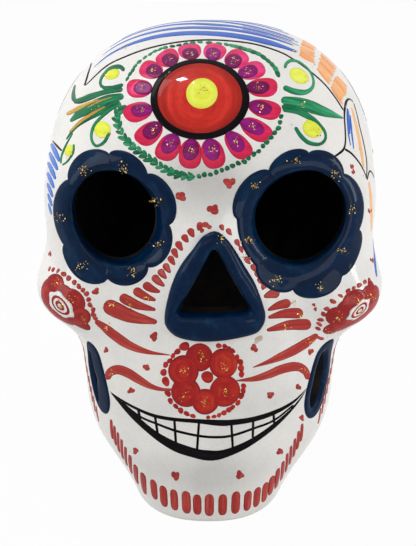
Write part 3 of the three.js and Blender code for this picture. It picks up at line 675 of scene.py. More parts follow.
# A capped tube along the chart's axis, a seat wider than the sleeve
def boreTool(chart, look, steps=96, ends=(130.0, 20.0)):
    angle = ringAngles(look, steps)
    radius = look["bore"](angle) + sleeveWall + max(seatGap, 0.55 * look["lip"])
    radius = np.minimum(radius, look["flange"](angle) - 0.7)
    rings = [over(chart, radius * np.cos(angle), radius * np.sin(angle), h) for h in ends]
    caps = [over(chart, 0.0, 0.0, h)[None] for h in ends]
    i = np.arange(steps)
    j = (i + 1) % steps
    return meshPiece("boreTool", np.concatenate(rings + caps), np.stack([i, steps + i, steps + j, j], 1),
                     np.concatenate([fan(2 * steps, i, j), fan(2 * steps + 1, steps + j, steps + i)]),
                     [innerWash], inset=-1.0)


tools = [boreTool(openings[key], look) for key, look in collarLooks.items()]
for tool in tools:
    cut = skullClay.modifiers.new("bore", "BOOLEAN")
    cut.operation, cut.solver, cut.object = "DIFFERENCE", "MANIFOLD", tool
graph = bpy.context.evaluated_depsgraph_get()
drilled = bpy.data.meshes.new_from_object(skullClay.evaluated_get(graph))
skullClay.modifiers.clear()
skullClay.data = drilled
for tool in tools:
    bpy.data.objects.remove(tool)
drilled.name = "skullClay"
drilled.materials.clear()
drilled.materials.append(glazedClay)
drilled.materials.append(innerWash)
faceCentre = np.zeros(len(drilled.polygons) * 3)
drilled.polygons.foreach_get("center", faceCentre)
faceCentre = faceCentre.reshape(-1, 3) * 1000 + rowShift
# faces inside the shell take the painted shade
inside = (headField(faceCentre) < -1.0) & (overCut(faceCentre) > 0.5)
drilled.polygons.foreach_set("material_index", inside.astype(np.int32))
drilled.shade_smooth()
drilled.set_sharp_from_angle(angle=math.radians(38))
drilled.update()
setPiece(skullClay, ("face_casting", "cranium_casting"))
print("drilled clay:", len(drilled.polygons), "faces")


def faceOut(piece):     # turns a closed mesh the right way out, by the sign of its volume
    mesh = piece.data
    mesh.calc_loop_triangles()
    co = np.zeros(len(mesh.vertices) * 3)
    mesh.vertices.foreach_get("co", co)
    tri = np.zeros(len(mesh.loop_triangles) * 3, np.int32)
    mesh.loop_triangles.foreach_get("vertices", tri)
    a, b, c = (co.reshape(-1, 3)[tri.reshape(-1, 3)[:, k]] for k in range(3))
    if (np.cross(a, b) * c).sum() < 0:
        mesh.flip_normals()


# A collar: a flange on the clay with a rounded edge, a lip that curves into the bore, and a
# sleeve; its section is carried round the opening and closed under the flange
def collarPiece(key, look):
    chart = openings[key]
    out = chart["out"]
    angle = ringAngles(look, look["steps"])
    cos, sin = np.cos(angle)[:, None], np.sin(angle)[:, None]
    inner, outer = look["bore"](angle)[:, None], look["flange"](angle)[:, None]
    lip = np.minimum(inner + sleeveWall + look["lip"], outer - look["edge"] - 0.4)
    edgeShare = np.array([0, 0.06, 0.16, 0.3, 0.48, 0.7, 1.0])[None]
    flat = np.linspace(0, 1, 9)[None, 1:]
    radii = np.concatenate([outer - look["edge"] * edgeShare,
                            outer - look["edge"] + (lip - outer + look["edge"]) * flat], 1)
    lift = np.concatenate([look["rise"] * np.sqrt(1 - (1 - edgeShare) ** 2) - 0.08 * (1 - edgeShare),
                           np.full((1, 8), look["rise"])], 1)
    clay = under(chart, radii * cos, radii * sin)
    top = clay + headNormal(clay) * lift[..., None]
    # the lip is a quarter of an ellipse from the flange into the bore
    phi = (np.arange(1, 11) / 10 * math.pi / 2)[None]
    lipR = inner + (lip - inner) * (1 - np.sin(phi))
    lipClay = under(chart, lipR * cos, lipR * sin)
    raised = headNormal(lipClay) * look["rise"]
    level = (lipClay + raised - chart["origin"]) @ out - look["lipDepth"] * (1 - np.cos(phi))
    sideways = raised - (raised @ out)[..., None] * out
    curve = over(chart, lipR * cos, lipR * sin, level) + sideways * (1 - np.sin(phi))[..., None]
    # the sleeve draws in and to one side as it goes down
    sleeve = np.linspace(0, 1, 7)[None, 1:]
    down = level[:, -1:] - (look["depth"] - look["lipDepth"]) * sleeve
    tubeR = inner - look["taper"] * sleeve ** 0.8
    aside, sunk = look["shift"]
    tube = over(chart, tubeR * cos + aside * sleeve, tubeR * sin + sunk * sleeve, down)
    backR = inner + sleeveWall
    foot = over(chart, backR * cos, backR * sin, down[:, -1:])
    seat = under(chart, backR * cos, backR * sin) - 0.4 * out
    underside = under(chart, (outer - 0.5) * cos, (outer - 0.5) * sin)
    underside = underside - headNormal(underside) * 0.25
    loop = np.concatenate([top, curve, tube, foot, seat, underside], 1)
    steps, size = loop.shape[:2]
    quads = gridQuads(steps + 1, size, True) % (steps * size)
    # along the brush is round the opening, across it is from the edge inwards
    reach = np.concatenate([[0], np.cumsum(np.linalg.norm(np.diff(loop, axis=1), axis=2).mean(0))])
    uv = np.stack(np.broadcast_arrays(np.abs(angle)[:, None] * 20, reach[None]), -1)
    edge = np.zeros((steps, size))
    edge[:, :3] = (1.0, 0.97, 0.93)
    # painted shade: the deepest rows of the section, down the sleeve, take the interior's near-black
    finish = np.zeros((steps, size), int)
    finish[:, -look["dark"]:] = 1
    piece = meshPiece(key + "Collar", loop.reshape(-1, 3), quads, np.zeros((0, 3), int),
                      [enamels["navyEnamel"], innerWash], finish.ravel(), uv.reshape(-1, 2),
                      {"edge": edge.ravel(), "seed": np.full(steps * size, 0.5)})
    faceOut(piece)
    piece.data.set_sharp_from_angle(angle=math.radians(55))
    setPiece(piece, (look["node"],))


for key, look in collarLooks.items():
    collarPiece(key, look)
print("collars:", ", ".join(collarLooks))


# Films of paint: thin closed sheets whose edges sink into the clay
rng = np.random.default_rng(7)
mmPerPixel = 0.36
edgeSink = 0.03        # mm by which a film's edge lies under the clay's skin


def endShares(count):       # shares of a length, closer together towards both ends
    u = np.linspace(0, 1, count)
    return 0.55 * u + 0.45 * (1 - np.cos(math.pi * u)) / 2


def newSeed():
    return float(rng.random())


def rounded(value, power):      # a power of a value's size with its sign kept
    return np.sign(value) * np.abs(value) ** power


def domed(dome, lift, rise):        # heights over the clay, from the sunk edge to the full rise
    return lift - edgeSink + (rise + edgeSink) * dome


def acrossShares(count):        # shares across a film, closer together towards both edges
    return 0.5 + 0.5 * rounded(np.linspace(-1, 1, count + 1), 0.6)


def turned(x, y, degrees):      # places turned about the middle
    c, s = math.cos(math.radians(degrees)), math.sin(math.radians(degrees))
    return x * c - y * s, x * s + y * c


def heading(degrees):       # the unit step in a direction
    return np.array([math.cos(math.radians(degrees)), math.sin(math.radians(degrees))])


# Places (u, v) millimetres off a foot point, in the plane square to the clay there
def onPlane(foot, u, v):
    n = headNormal(foot[None])[0]
    right = unit(np.cross(upAxis, n))
    return foot + np.multiply.outer(u, right) + np.multiply.outer(v, np.cross(n, right))


# A film as layFilms takes it: points with their heights, brush places and nearness to the edge,
# its faces, one that shows which way it is wound, and its shade
def film(points, height, uv, edge, quads, tris, testFace, finish, seed, skin):
    return {"points": points, "height": height, "uv": uv, "edge": edge, "quads": quads, "tris": tris,
            "testFace": testFace, "finish": finish, "skin": skin, "seed": newSeed() if seed is None else seed}


# A ribbon between two edges: straight across from one to the other, drawn to a point at both
# ends, domed by an eighth power and closed by a flat strip underneath
def ribbonRows(left, right, first, last, finish, rise=0.13, lift=0.0, across=5, seed=None, skin=False):
    rows, n = len(left), across + 1
    s = acrossShares(across)
    grid = left[:, None] * (1 - s)[None, :, None] + right[:, None] * s[None, :, None]
    width = np.linalg.norm(left - right, axis=1)
    swell = np.clip(width / (0.3 * width.max() + 1e-9), 0, 1)[:, None]
    dome = (1 - np.abs(2 * s - 1) ** 8)[None] * swell
    scale = 1.0 if skin else mmPerPixel
    steps = np.linalg.norm(np.diff((left + right) / 2, axis=0), axis=1)
    run = np.concatenate([[0], np.cumsum(steps)]) * scale
    uv = np.stack([np.broadcast_to(run[:, None], (rows, n)), (s - 0.5)[None] * width[:, None] * scale], -1)
    edge = np.broadcast_to(np.abs(2 * s - 1)[None], (rows, n)).copy()
    edge[0], edge[-1] = 1, 1
    count = rows * n
    i = np.arange(rows - 1) * n + 1
    k = np.arange(across)
    final = (rows - 1) * n + 1
    top = gridQuads(rows, n, False) + 1
    flat = np.stack([i, i + n, i + 2 * n - 1, i + n - 1], 1)
    tris = np.concatenate([fan(0, 2 + k, 1 + k), [[0, 1, n]], fan(count + 1, final + k, final + k + 1),
                           [[count + 1, final + n - 1, final]]])
    return film(np.concatenate([first[None], grid.reshape(count, -1), last[None]]),
                domed(np.concatenate([[0], dome.ravel(), [0]]), lift, rise),
                np.concatenate([[[0, 0]], uv.reshape(count, 2), [[run[-1], 0]]]),
                np.concatenate([[1], edge.ravel(), [1]]), np.concatenate([top, flat]), tris, len(top) // 2,
                finish, seed, skin)


def ribbonFilm(left, right, finish, **paint):       # a ribbon whose ends run on by one more step
    middle = (left + right)[1:-1] / 2
    return ribbonRows(left[1:-1], right[1:-1], 2 * middle[0] - middle[1], 2 * middle[-1] - middle[-2],
                      finish, **paint)


# A brush stroke: half widths at even shares of a path, drawn in to a round end over the last
# half width at each end
def stroke(path, half, finish, rows=None, skin=False, **paint):
    half = np.atleast_1d(np.asarray(half, float))
    _, length = smoothPath(path, np.array([0.0]))
    count = rows or int(np.clip(6 + length / (1.1 if skin else 3.0), 9, 46))
    share = endShares(count + 2)
    behind, line, ahead = (smoothPath(path, np.clip(share + d, 0, 1))[0] for d in (-0.004, 0, 0.004))
    tangent = unit(ahead - behind)
    width = np.interp(share, np.linspace(0, 1, len(half)), half)
    reach = np.minimum(share, 1 - share) * length
    width = width * np.sqrt(np.clip(1 - (1 - np.minimum(1, reach / (width + 1e-9))) ** 2, 0, 1))
    if skin:
        line = settle(line)
        side = unit(np.cross(headNormal(line), tangent))
    else:
        side = np.stack([tangent[:, 1], -tangent[:, 0]], 1)
    left, right = line - side * width[:, None], line + side * width[:, None]
    return ribbonRows(left[1:-1], right[1:-1], line[0], line[-1], finish, skin=skin, **paint)


# A dab: rings of an outline's radius about a centre, domed by an eighth power, closed by a
# shallow cone underneath. The outline is an oval, squarer as full falls below one, broader
# towards one end by egg, drawn to six corners by sixSided and flattened by squash once it is
# turned. On the skin the rings lie in the plane square to the clay; with swirl the brush goes
# round the middle.
def dab(centre, radii, finish, turn=0.0, rings=3, around=18, rise=0.13, lift=0.0, seed=None, skin=False,
        wobble=0.0, egg=0.0, full=1.0, sixSided=0.0, squash=1.0, swirl=False):
    angle = fullTurn(around)
    rx, ry = (radii, radii) if np.isscalar(radii) else radii
    uneven = 1 + wobble * (np.sin(2 * angle + rng.random() * 6) + 0.6 * np.sin(3 * angle + rng.random() * 6))
    uneven = uneven * (1 + sixSided * np.cos(6 * angle))
    x = rx * rounded(np.cos(angle), full) * uneven
    y = ry * rounded(np.sin(angle), full) * uneven * (1 + egg * np.cos(angle))
    x, y = turned(x, y, turn)
    share = ((np.arange(rings) + 1) / rings)[:, None] ** 0.45       # closer together towards the edge
    flatX, flatY = share * x[None], share * y[None] * squash
    middle = np.asarray(centre, float)
    brush = np.stack([flatX, flatY], -1)
    if skin:
        middle = settle(middle[None])[0]
        grid, scale = onPlane(middle, flatX, flatY), 1.0
    else:
        grid, scale = middle + brush, mmPerPixel
    if swirl:
        brush = np.stack([np.abs(np.arctan2(flatY, flatX)) * rx * 0.6, np.hypot(flatX, flatY)], -1)
    count = rings * around
    share = np.broadcast_to(share, flatX.shape).ravel()
    k = np.arange(around)
    m = (k + 1) % around
    outer = 1 + (rings - 1) * around
    return film(np.concatenate([middle[None], grid.reshape(count, -1), middle[None]]),
                np.concatenate([[lift + rise], domed(1 - share ** 8, lift, rise), [lift - 0.2]]),
                np.concatenate([[[0, 0]], brush.reshape(count, 2) * scale, [[0, 0]]]),
                np.concatenate([[0], share, [1]]), gridQuads(rings, around, True) + 1,
                np.concatenate([fan(0, 1 + m, 1 + k), fan(count + 1, outer + k, outer + m)]), 0,
                finish, seed, skin)


beadMesh = {"rings": 2, "around": 14}       # few faces, for small dabs


# A band between two closed outlines, domed across and closed underneath
def band(inner, outer, finish, across=6, rise=0.13, lift=0.0, skin=False):
    around = len(inner)
    s = acrossShares(across)
    grid = inner[None] * (1 - s)[:, None, None] + outer[None] * s[:, None, None]
    off = np.broadcast_to(np.abs(2 * s - 1)[:, None], grid.shape[:2]).ravel()
    scale = 1.0 if skin else mmPerPixel
    k = np.arange(around)
    m = (k + 1) % around
    final = across * around
    centre = inner.mean(0)
    angle = np.arctan2(*(grid - centre)[..., :2][..., ::-1].transpose(2, 0, 1))
    girth = np.abs(angle) * np.linalg.norm(inner - centre, axis=1).mean() * scale
    uv = np.stack([girth, np.linalg.norm(grid - centre, axis=-1) * scale], -1)
    quads = np.concatenate([gridQuads(across + 1, around, True), np.stack([final + k, final + m, m, k], 1)])
    return film(grid.reshape(-1, grid.shape[-1]), domed(1 - off ** 8, lift, rise), uv.reshape(-1, 2), off,
                quads, np.zeros((0, 3), int), across // 2 * around, finish, None, skin)


def ellipseLine(centre, radii, count=72):       # a ring of points about a pixel
    angle = fullTurn(count)
    return np.array(centre) + np.array(radii) * np.stack([np.cos(angle), np.sin(angle)], 1)


def ovalOn(foot, radii, count, turn=0.0):       # a ring of points in the plane square to the clay
    angle = fullTurn(count)
    return onPlane(foot, *turned(radii[0] * np.cos(angle), radii[1] * np.sin(angle), turn))


# Lays films on the clay: pixels are cast and skin points settled in one go, each is raised
# along the normal, and a film that faces inwards is turned round
def layFilms(name, films, nodes=()):
    films = sorted(films, key=lambda f: f["skin"])      # what is cast comes first
    flat = [f["points"] for f in films if not f["skin"]]
    wrapped = [f["points"] for f in films if f["skin"]]
    clay = np.concatenate([place(np.concatenate(points)) for place, points in
                           ((underPixel, flat), (settle, wrapped)) if points])
    normal = headNormal(clay)
    points = clay + normal * np.concatenate([f["height"] for f in films])[:, None]
    finishes = sorted({f["finish"] for f in films})
    quads, tris, start = [], [], 0
    for f in films:
        a, b, c, _ = f["quads"][f["testFace"]] + start
        inwards = np.cross(points[b] - points[a], points[c] - points[a]) @ normal[a] < 0
        for faces, kept in ((f["quads"], quads), (f["tris"], tris)):
            kept.append((faces[:, ::-1] if inwards else faces) + start)
        start += len(f["points"])
    kinds = [finishes.index(f["finish"]) for f in films]
    kindOf = np.concatenate([np.repeat(kinds, [len(part) for part in parts]) for parts in (quads, tris)])
    seeds = np.repeat([f["seed"] for f in films], [len(f["points"]) for f in films])
    piece = meshPiece(name, points, np.concatenate(quads), np.concatenate(tris),
                      [enamels[f] for f in finishes], kindOf, np.concatenate([f["uv"] for f in films]),
                      {"edge": np.concatenate([f["edge"] for f in films]), "seed": seeds})
    setPiece(piece, nodes)


# Forehead rosette, in pixels of the photograph's frame
rosette = {
    "centre": (202, 93.6), "centreRadii": (16.6, 15.9),
    "disc": (199.8, 98.2), "discRadii": (43.8, 36.6),       # reaches in under the ring
    "ringInner": (42.4, 35.0), "ring": (200, 99.3), "ringRadii": (49.6, 40.6),
    "wreath": (202.2, 106), "wreathRadii": (79.4, 63.8), "squash": 0.82,
    "petalTurns": (-121, -100, -78, -57, -38, -17, 7, 31, 55, 79.5, 99.6, 120.5, 144, 170, 196, 219),
    "petalHalf": 11.9,
    "heart": (0.37, 0.37, 0.70),            # place and half length along the petal, share of its width
}
layFilms("rosetteCentre", [dab(rosette["centre"], rosette["centreRadii"], "yellowEnamel", rings=6, swirl=True,
                               around=40, lift=0.12, seed=0.5, wobble=0.008)],
         ("rosette_centre",))
layFilms("rosetteDisc", [dab(rosette["disc"], rosette["discRadii"], "discEnamel", rings=12, around=72,
                             rise=0.14, seed=0.5, swirl=True)], ("rosette_disc",))
layFilms("rosetteRing", [band(ellipseLine(rosette["disc"], rosette["ringInner"]),
                              ellipseLine(rosette["ring"], rosette["ringRadii"]), "blackEnamel",
                              lift=0.07)], ("rosette_ring",))
petals, hearts = [], []
upright = np.array((1, 1 / rosette["squash"]))      # undoes the foreshortening of the brow
for turn in rosette["petalTurns"]:
    ray = heading(turn)
    root = np.array(rosette["ring"]) + ray * (np.array(rosette["ringRadii"]) - 0.8)
    tip = np.array(rosette["wreath"]) + ray * np.array(rosette["wreathRadii"])
    halfWidth = rosette["petalHalf"] * (0.96 + 0.08 * rng.random())
    axis = (tip - root) * upright
    length, lean = np.hypot(*axis), math.degrees(math.atan2(axis[1], axis[0]))
    # each petal's shade runs lighter towards the top of the rosette and darker towards the bottom, with a
    # little at random
    shade = float(np.clip(0.5 - 0.4 * ray[1] + 0.25 * (newSeed() - 0.5), 0, 1))
    petals.append(dab((root + tip) / 2, (length / 2, halfWidth), "pinkEnamel", turn=lean, rings=5,
                      around=32, seed=shade, wobble=0.018, egg=0.14, full=0.86, squash=rosette["squash"]))
    place, reach, share = rosette["heart"]
    hearts.append(dab(root + (tip - root) * place, (length * reach, halfWidth * share), "purpleEnamel",
                      turn=lean + 14 * (rng.random() - 0.5), rings=4, around=24, rise=0.07, lift=0.13,
                      wobble=0.045, egg=0.1, full=0.95, squash=rosette["squash"]))
layFilms("rosettePetals", petals, ("rosette_petals",))
layFilms("petalHearts", hearts)
print("rosette: petals", len(petals))


def pieceName(node):        # a node's name with its words run together
    first, *rest = node.split("_")
    return first + "".join(word.title() for word in rest)


# Places along a path in pixels: even shares of its length, with the direction there in degrees
def alongPath(path, count):
    share = np.linspace(0, 1, count)
    place, _ = smoothPath(path, share)
    step = np.subtract(*(smoothPath(path, np.clip(share + d, 0, 1))[0] for d in (0.01, -0.01)))
    return place, np.degrees(np.arctan2(step[:, 1], step[:, 0]))


# Green wreath: dashes over the top, round beads at the right, leaflets in pairs at the left
greenWreath = {
    "dashes": ((127.3, 78.6), (130, 74), (132.7, 70.3), (135.1, 66.1), (139.2, 61.8), (145, 57.3),
               (150.3, 54.1), (155, 51.2), (160.1, 49.2), (165.2, 47.6), (172.4, 46.2), (178.9, 45.1),
               (185.7, 43.9), (192.6, 42.9), (200.1, 42), (208.8, 42.5), (219, 43.4), (226.4, 44.4),
               (232, 45.6), (236, 46.5), (240.2, 47.6), (244.7, 49), (249, 50.2), (253.4, 51.9),
               (258.4, 53.9), (263.2, 57), (267.8, 60.6), (272.2, 64.6), (275.6, 69), (277.6, 73.4)),
    "dashRadii": (3.2, 1.65),
    "beads": ((281.2, 116.4), (277.6, 128), (264.6, 145), (247, 159.2), (229.3, 167.5), (213.7, 172.6),
              (207, 174.5), (198.5, 176.5)),
    "beadCount": 19, "beadRadii": (2.9, 2.6),
    "leaflets": ((120, 109), (116.4, 117), (118.6, 127), (124, 137.4), (132, 146), (143, 154.4),
                 (155, 162.6), (166.6, 170), (180, 175.4), (193, 176.8)),
    "leafletCount": 18, "leafletRadii": (5.2, 2.5), "leafletSpread": 36,
}
wreath = []
dashLeans = np.degrees(np.arctan2(*np.gradient(np.array(greenWreath["dashes"]), axis=0).T[::-1]))
for place, lean in zip(greenWreath["dashes"], dashLeans):
    grow = 1 + 0.4 * np.clip((place[0] - 222) / 30, 0, 1)       # larger towards the right
    radii = np.array(greenWreath["dashRadii"]) * grow * (0.9 + 0.2 * rng.random())
    wreath.append(dab(place, radii, "greenEnamel", turn=lean + 14 * (rng.random() - 0.5), wobble=0.06,
                      **beadMesh))
for place, lean in zip(*alongPath(greenWreath["beads"], greenWreath["beadCount"])):
    place = place + rng.normal(0, 0.4, 2)
    radii = np.array(greenWreath["beadRadii"]) * (0.9 + 0.2 * rng.random())
    wreath.append(dab(place, radii, "greenEnamel", turn=lean + 50, wobble=0.08, seed=0.3 * rng.random(),
                      **beadMesh))
for place, lean in zip(*alongPath(greenWreath["leaflets"], greenWreath["leafletCount"])):
    for hand in (-1, 1):
        swing = lean + 180 - hand * greenWreath["leafletSpread"]
        radii = np.array(greenWreath["leafletRadii"]) * (0.8 + 0.3 * rng.random())
        wreath.append(dab(place + heading(swing) * 2.4, radii, "greenEnamel", turn=swing, wobble=0.07,
                          **beadMesh))
layFilms("greenWreath", wreath)

# Sprays beside the rosette: paths in pixels with half widths at even shares
sprays = {
    "right_upper_tendril": (((283, 86.8), (294.2, 91.4), (305.4, 92.2), (312.4, 87.4), (313.4, 79.6),
                             (309.4, 70.8), (300.6, 63), (292.6, 60.4), (287, 62.8), (284.6, 68.6)),
                            (2.8, 3.2, 3.2, 2.2, 1.4, 1.2, 1.2, 1.4, 1.9, 1.5)),
    "right_leaf": (((280.8, 99.6), (292, 101.6), (306, 105), (322, 111), (344, 118.4)),
                   (3.6, 6.0, 6.6, 4.6, 0.6)),
    "right_lower_tendril": (((282, 108.4), (295.8, 110.2), (307, 115.6), (316.6, 122), (324.4, 130.8),
                             (325.4, 138.8), (319.8, 144.2), (308.6, 142.6), (300.6, 135.6),
                             (295, 126.8)), (3.4, 4.0, 3.6, 2.8, 1.7, 1.5, 1.8, 2.3, 2.3, 1.9)),
    "left_upper_tendril": (((124.2, 71.4), (121.6, 67.6), (117, 66.6), (109, 69.4), (101.8, 77.4),
                            (100.4, 84.4), (104.6, 87.8), (113.8, 87.6), (123.6, 84.4)),
                           (2.0, 2.5, 2.4, 1.8, 1.4, 1.7, 2.4, 2.5, 1.7)),
    "left_leaf": (((124, 96), (109, 99), (94, 106), (80.6, 113), (70, 121.6)), (3.2, 4.8, 5.8, 5.2, 1.4)),
    "left_lower_tendril": (((119.6, 104.6), (109, 111), (97.8, 120.6), (92.2, 130.2), (91.6, 139.6),
                            (96.2, 146), (104.2, 142), (109.8, 131.8)),
                           (1.2, 1.5, 1.8, 1.9, 1.5, 1.5, 1.8, 2.0)),
}
buds = {
    "right_upper_bud": ((299, 75.8), (10.9, 7.6), 30), "right_lower_bud": ((312.2, 128.6), (10.6, 9.2), 35),
    "left_upper_bud": ((112.2, 74), (7.8, 5.7), -22), "left_lower_bud": ((102.4, 129.6), (8.6, 8.8), 0),
}
for node, (path, halves) in sprays.items():
    layFilms(pieceName(node), [stroke(path, halves, "greenEnamel", across=6)], (node,))
for node, (place, radii, lean) in buds.items():
    layFilms(pieceName(node), [dab(place, radii, "yellowEnamel", turn=lean, rings=4, around=28, wobble=0.01)],
             (node,))
extraGreen = (
    (((123, 89), (109, 91), (93, 95.8), (80.4, 100.6), (74.6, 100.6), (73.4, 93.4), (75.2, 84)),
     (2.9, 3.0, 2.8, 3.6, 3.2, 2.2, 0.7)),
    (((120.4, 101.6), (112.2, 104.8), (101, 111.8), (86.6, 119.4), (75.4, 127.4), (66, 139.8)),
     (2.4, 3.2, 2.9, 2.3, 1.7, 0.7)),
    (((281.5, 107.5), (288, 106.2), (296, 106.6)), (2.4, 3.4, 1.4)),
    (((73.8, 143.8), (73.2, 152.4), (67.4, 161.4), (62, 165.2)), (1.0, 1.3, 1.2, 0.9)),
    (((73, 133), (66, 145), (61.6, 156), (60.8, 164)), (0.6, 1.1, 1.2, 0.8)),
)
ochreEdges = (
    (((106, 106.4), (93, 113.4), (80.2, 122), (69.4, 132.4)), (0.6, 1.5, 1.6, 0.9)),
    (((100, 99.6), (88.2, 103.6), (77, 109.2), (66.4, 114.6)), (0.5, 1.4, 2.2, 1.6)),
    (((113, 97), (99, 101.6), (87, 108)), (0.3, 0.8, 0.4)),
)
shootShades = (0.1, 0.2, 0.3, 0.7, 0.7)
layFilms("sprayShoots",
         [stroke(path, halves, "greenEnamel", seed=shade)
          for (path, halves), shade in zip(extraGreen, shootShades)]
         + [stroke(path, halves, "ochreEnamel", lift=0.1, rise=0.06) for path, halves in ochreEdges]
         + [dab((69, 150.4), (4.2, 6.4), "yellowEnamel", turn=20, around=20)])
print("wreath and sprays:", len(wreath) + len(sprays) + len(buds))

# Red ticks beside the nose: start, end and half width, in pixels. Each is a drop with its
# round end away from the nose.
noseTicks = (
    ((189.6, 228.0), (194.0, 237.4), 3.4), ((183, 234.4), (188.4, 242.4), 3.4),
    ((177.2, 241), (182.6, 250.8), 3.4), ((173.2, 248), (177.6, 258.2), 3.2),
    ((169.4, 255.6), (175, 265.2), 3.2), ((164.4, 263.2), (170.6, 273), 3.3),
    ((159.2, 269), (166.6, 278.8), 3.5), ((152.8, 275.2), (164.8, 286.4), 3.7),
    ((143.2, 283.4), (160.4, 292.2), 4.0), ((133.6, 289.2), (156, 300.4), 4.2),
    ((119.6, 296.2), (156, 310), 4.7), ((103.6, 303.8), (157.4, 322.4), 7.2),
    ((221.0, 224.2), (223.4, 230.6), 2.4), ((227.4, 228.2), (231.6, 235.4), 2.6),
    ((235.8, 239), (239.8, 246.6), 2.6), ((240.6, 246), (242.6, 253), 2.4),
    ((245.4, 256.4), (250.4, 264.4), 2.8), ((252, 264), (256.4, 271.8), 2.8),
    ((257, 270.6), (258.8, 278), 3.0), ((259.8, 277.2), (261.2, 284), 3.0),
    ((266.4, 282.4), (262.4, 290), 3.4), ((279.8, 292.6), (263.6, 297), 4.6),
    ((291, 302.6), (267.6, 310.4), 4.3), ((303.4, 313.2), (267.8, 317.6), 4.9),
    ((311.6, 324.4), (266.4, 330.4), 5.2),
)
tickTaper = np.array((1.1, 1.15, 1.0, 0.7, 0.3))
tickBow = 0.05
ridgeDabs = (((199.6, 226.2), (3.4, 4.4)), ((205.2, 224.8), (4.0, 3.0)), ((209.4, 227), (2.6, 2.2)),
             ((202, 230.6), (2.2, 2.4)))
ticks = []
for start, end, half in noseTicks:
    a, b = np.array(start), np.array(end)
    bow = np.array([-(b - a)[1], (b - a)[0]]) * tickBow
    ticks.append(stroke((a, (a + b) / 2 + bow, b), half * tickTaper, "roseEnamel", across=6,
                        seed=0.25 + 0.3 * rng.random()))
ticks += [dab(place, radii, "roseEnamel", turn=20, wobble=0.08) for place, radii in ridgeDabs]
layFilms("noseTicks", ticks)

# Brush strokes across the cheeks
cheekStrokes = (
    (((95, 320.6), (104, 327), (116, 336.5), (130, 345.6), (148, 352), (171, 355.2)),
     (2.2, 4.4, 4.6, 3.4, 1.6, 0.4)),
    (((106.8, 380), (110, 372.4), (118, 369.6), (128, 373), (138, 379.2), (150, 386), (162, 389.4),
      (176, 389.6)), (2.8, 4.4, 4.6, 4.3, 3.6, 2.4, 1.5, 1.1)),
    (((318, 334.2), (306, 343), (294, 350.2), (282, 356), (268, 362), (252.4, 367.6)),
     (2.2, 4.4, 4.6, 3.8, 2.0, 0.4)),
    (((308, 380), (306.2, 372.6), (300.6, 367.6), (293, 366.6), (281, 369.4), (268.4, 374.6),
      (254.3, 378.8), (236, 380.8)), (2.4, 4.0, 4.5, 4.3, 3.9, 3.1, 1.9, 0.6)),
)
layFilms("cheekStrokes", [stroke(path, np.array(halves) * 1.1, "roseEnamel", across=7, seed=0.55)
                          for path, halves in cheekStrokes])

limbs = (62, 346)      # past these columns paint is laid on the skin, in millimetres


def spot(place, radii, finish, **look):     # a dab by pixels, laid on the skin near the limbs
    if limbs[0] < place[0] < limbs[1]:
        return dab(place, radii, finish, **look)
    return dab(underPixel(place)[0], radii * mmPerPixel * 1.15, finish, skin=True, **look)


# Red dots: clusters of three dabs
redDots = ((180.6, 196, 1.45), (213, 209, 1.5), (229.8, 183, 1.55), (50, 254, 0.8), (96, 291.4, 1.05),
           (352, 166.6, 0.7), (353.6, 171.6, 0.7), (370, 211, 0.8), (372, 260, 0.8), (153.6, 336.8, 1.2),
           (146.3, 367, 1.0), (130.6, 390.4, 0.95), (106.3, 350, 0.75), (254, 348.4, 1.1),
           (270.2, 395.2, 1.05), (298.4, 387.4, 0.8), (310.4, 351.6, 0.9), (301.6, 418, 0.8),
           (135.8, 450.6, 0.9), (175.6, 475.4, 1.25), (240, 474.8, 1.2), (279.6, 451.4, 1.0),
           (313.8, 304.6, 0.5), (315.4, 309.4, 0.55))
dotCluster = ((1.5, 2.9), (1.4, 2.6), (1.3, 2.2))       # reach and radius of each dab, in pixels
dotStep = 2.3       # radians from one dab to the next
dots = []
for *place, grow in redDots:
    swing = rng.random() * 6.3
    for k, (reach, size) in enumerate(dotCluster):
        lean = math.degrees(swing + dotStep * k)
        off = heading(lean) * reach * (0.8 + 0.4 * rng.random())
        dots.append(spot(np.array(place) + off * grow, np.array((1.0, 0.92)) * size * grow, "roseEnamel",
                         turn=lean, wobble=0.1, lift=0.015 * k, **beadMesh))
layFilms("redDots", dots)

# Lip flower and its ring of beads
lipFlower = {
    "petals": ((199.3, 357.4, 14.6), (223.2, 363.6, 15), (224.8, 391.2, 15.8), (205.4, 401.6, 13.4),
               (186, 392, 15.2), (183.6, 370.6, 15.6)),
    "middle": (204, 381), "dot": (207.4, 377), "dotRadii": (6.9, 5.9),
    "beads": ((184.4, 346.4, 4.2), (177.4, 351.6, 2.8), (173, 355.8, 2.2), (169.7, 360.7, 2.3),
              (165.6, 364.8, 2.5), (163.6, 372.4, 3.0), (165.8, 381.4, 3.7), (167.8, 393.4, 2.8),
              (170.4, 401, 2.5), (175.8, 406.3, 2.3), (180.7, 410.4, 2.6), (186.6, 413.6, 2.4),
              (192.8, 416, 2.2), (208.2, 417.4, 1.8), (214, 416.6, 1.9), (219, 415.2, 2.0),
              (223.9, 412.9, 2.4), (228.9, 409.8, 2.5), (232.4, 407.4, 2.3), (238, 402.8, 2.4),
              (241.4, 395.8, 2.7), (243.2, 390.8, 2.4), (243.6, 386.2, 2.4), (241.5, 374.4, 2.6),
              (241, 368.2, 3.0), (240.2, 362, 2.7), (237.2, 357.2, 2.3), (232.6, 350.8, 2.2),
              (229, 348.4, 2.1), (224.8, 346.4, 2.2), (218.8, 345.8, 2.4)),
}
layFilms("lipFlower", [dab((x, y), (r, r * 0.98), "redEnamel", turn=60 * k + 20, rings=6, around=32,
                           wobble=0.02, lift=0.02 * k, seed=0.2 + 0.12 * ((k * 5) % 6), swirl=True)
                       for k, (x, y, r) in enumerate(lipFlower["petals"])], ("lip_flower",))
layFilms("lipFlowerDot", [dab(lipFlower["dot"], lipFlower["dotRadii"], "redEnamel", turn=25, wobble=0.05)],
         ("lip_flower_dot",))
ringBeads = []
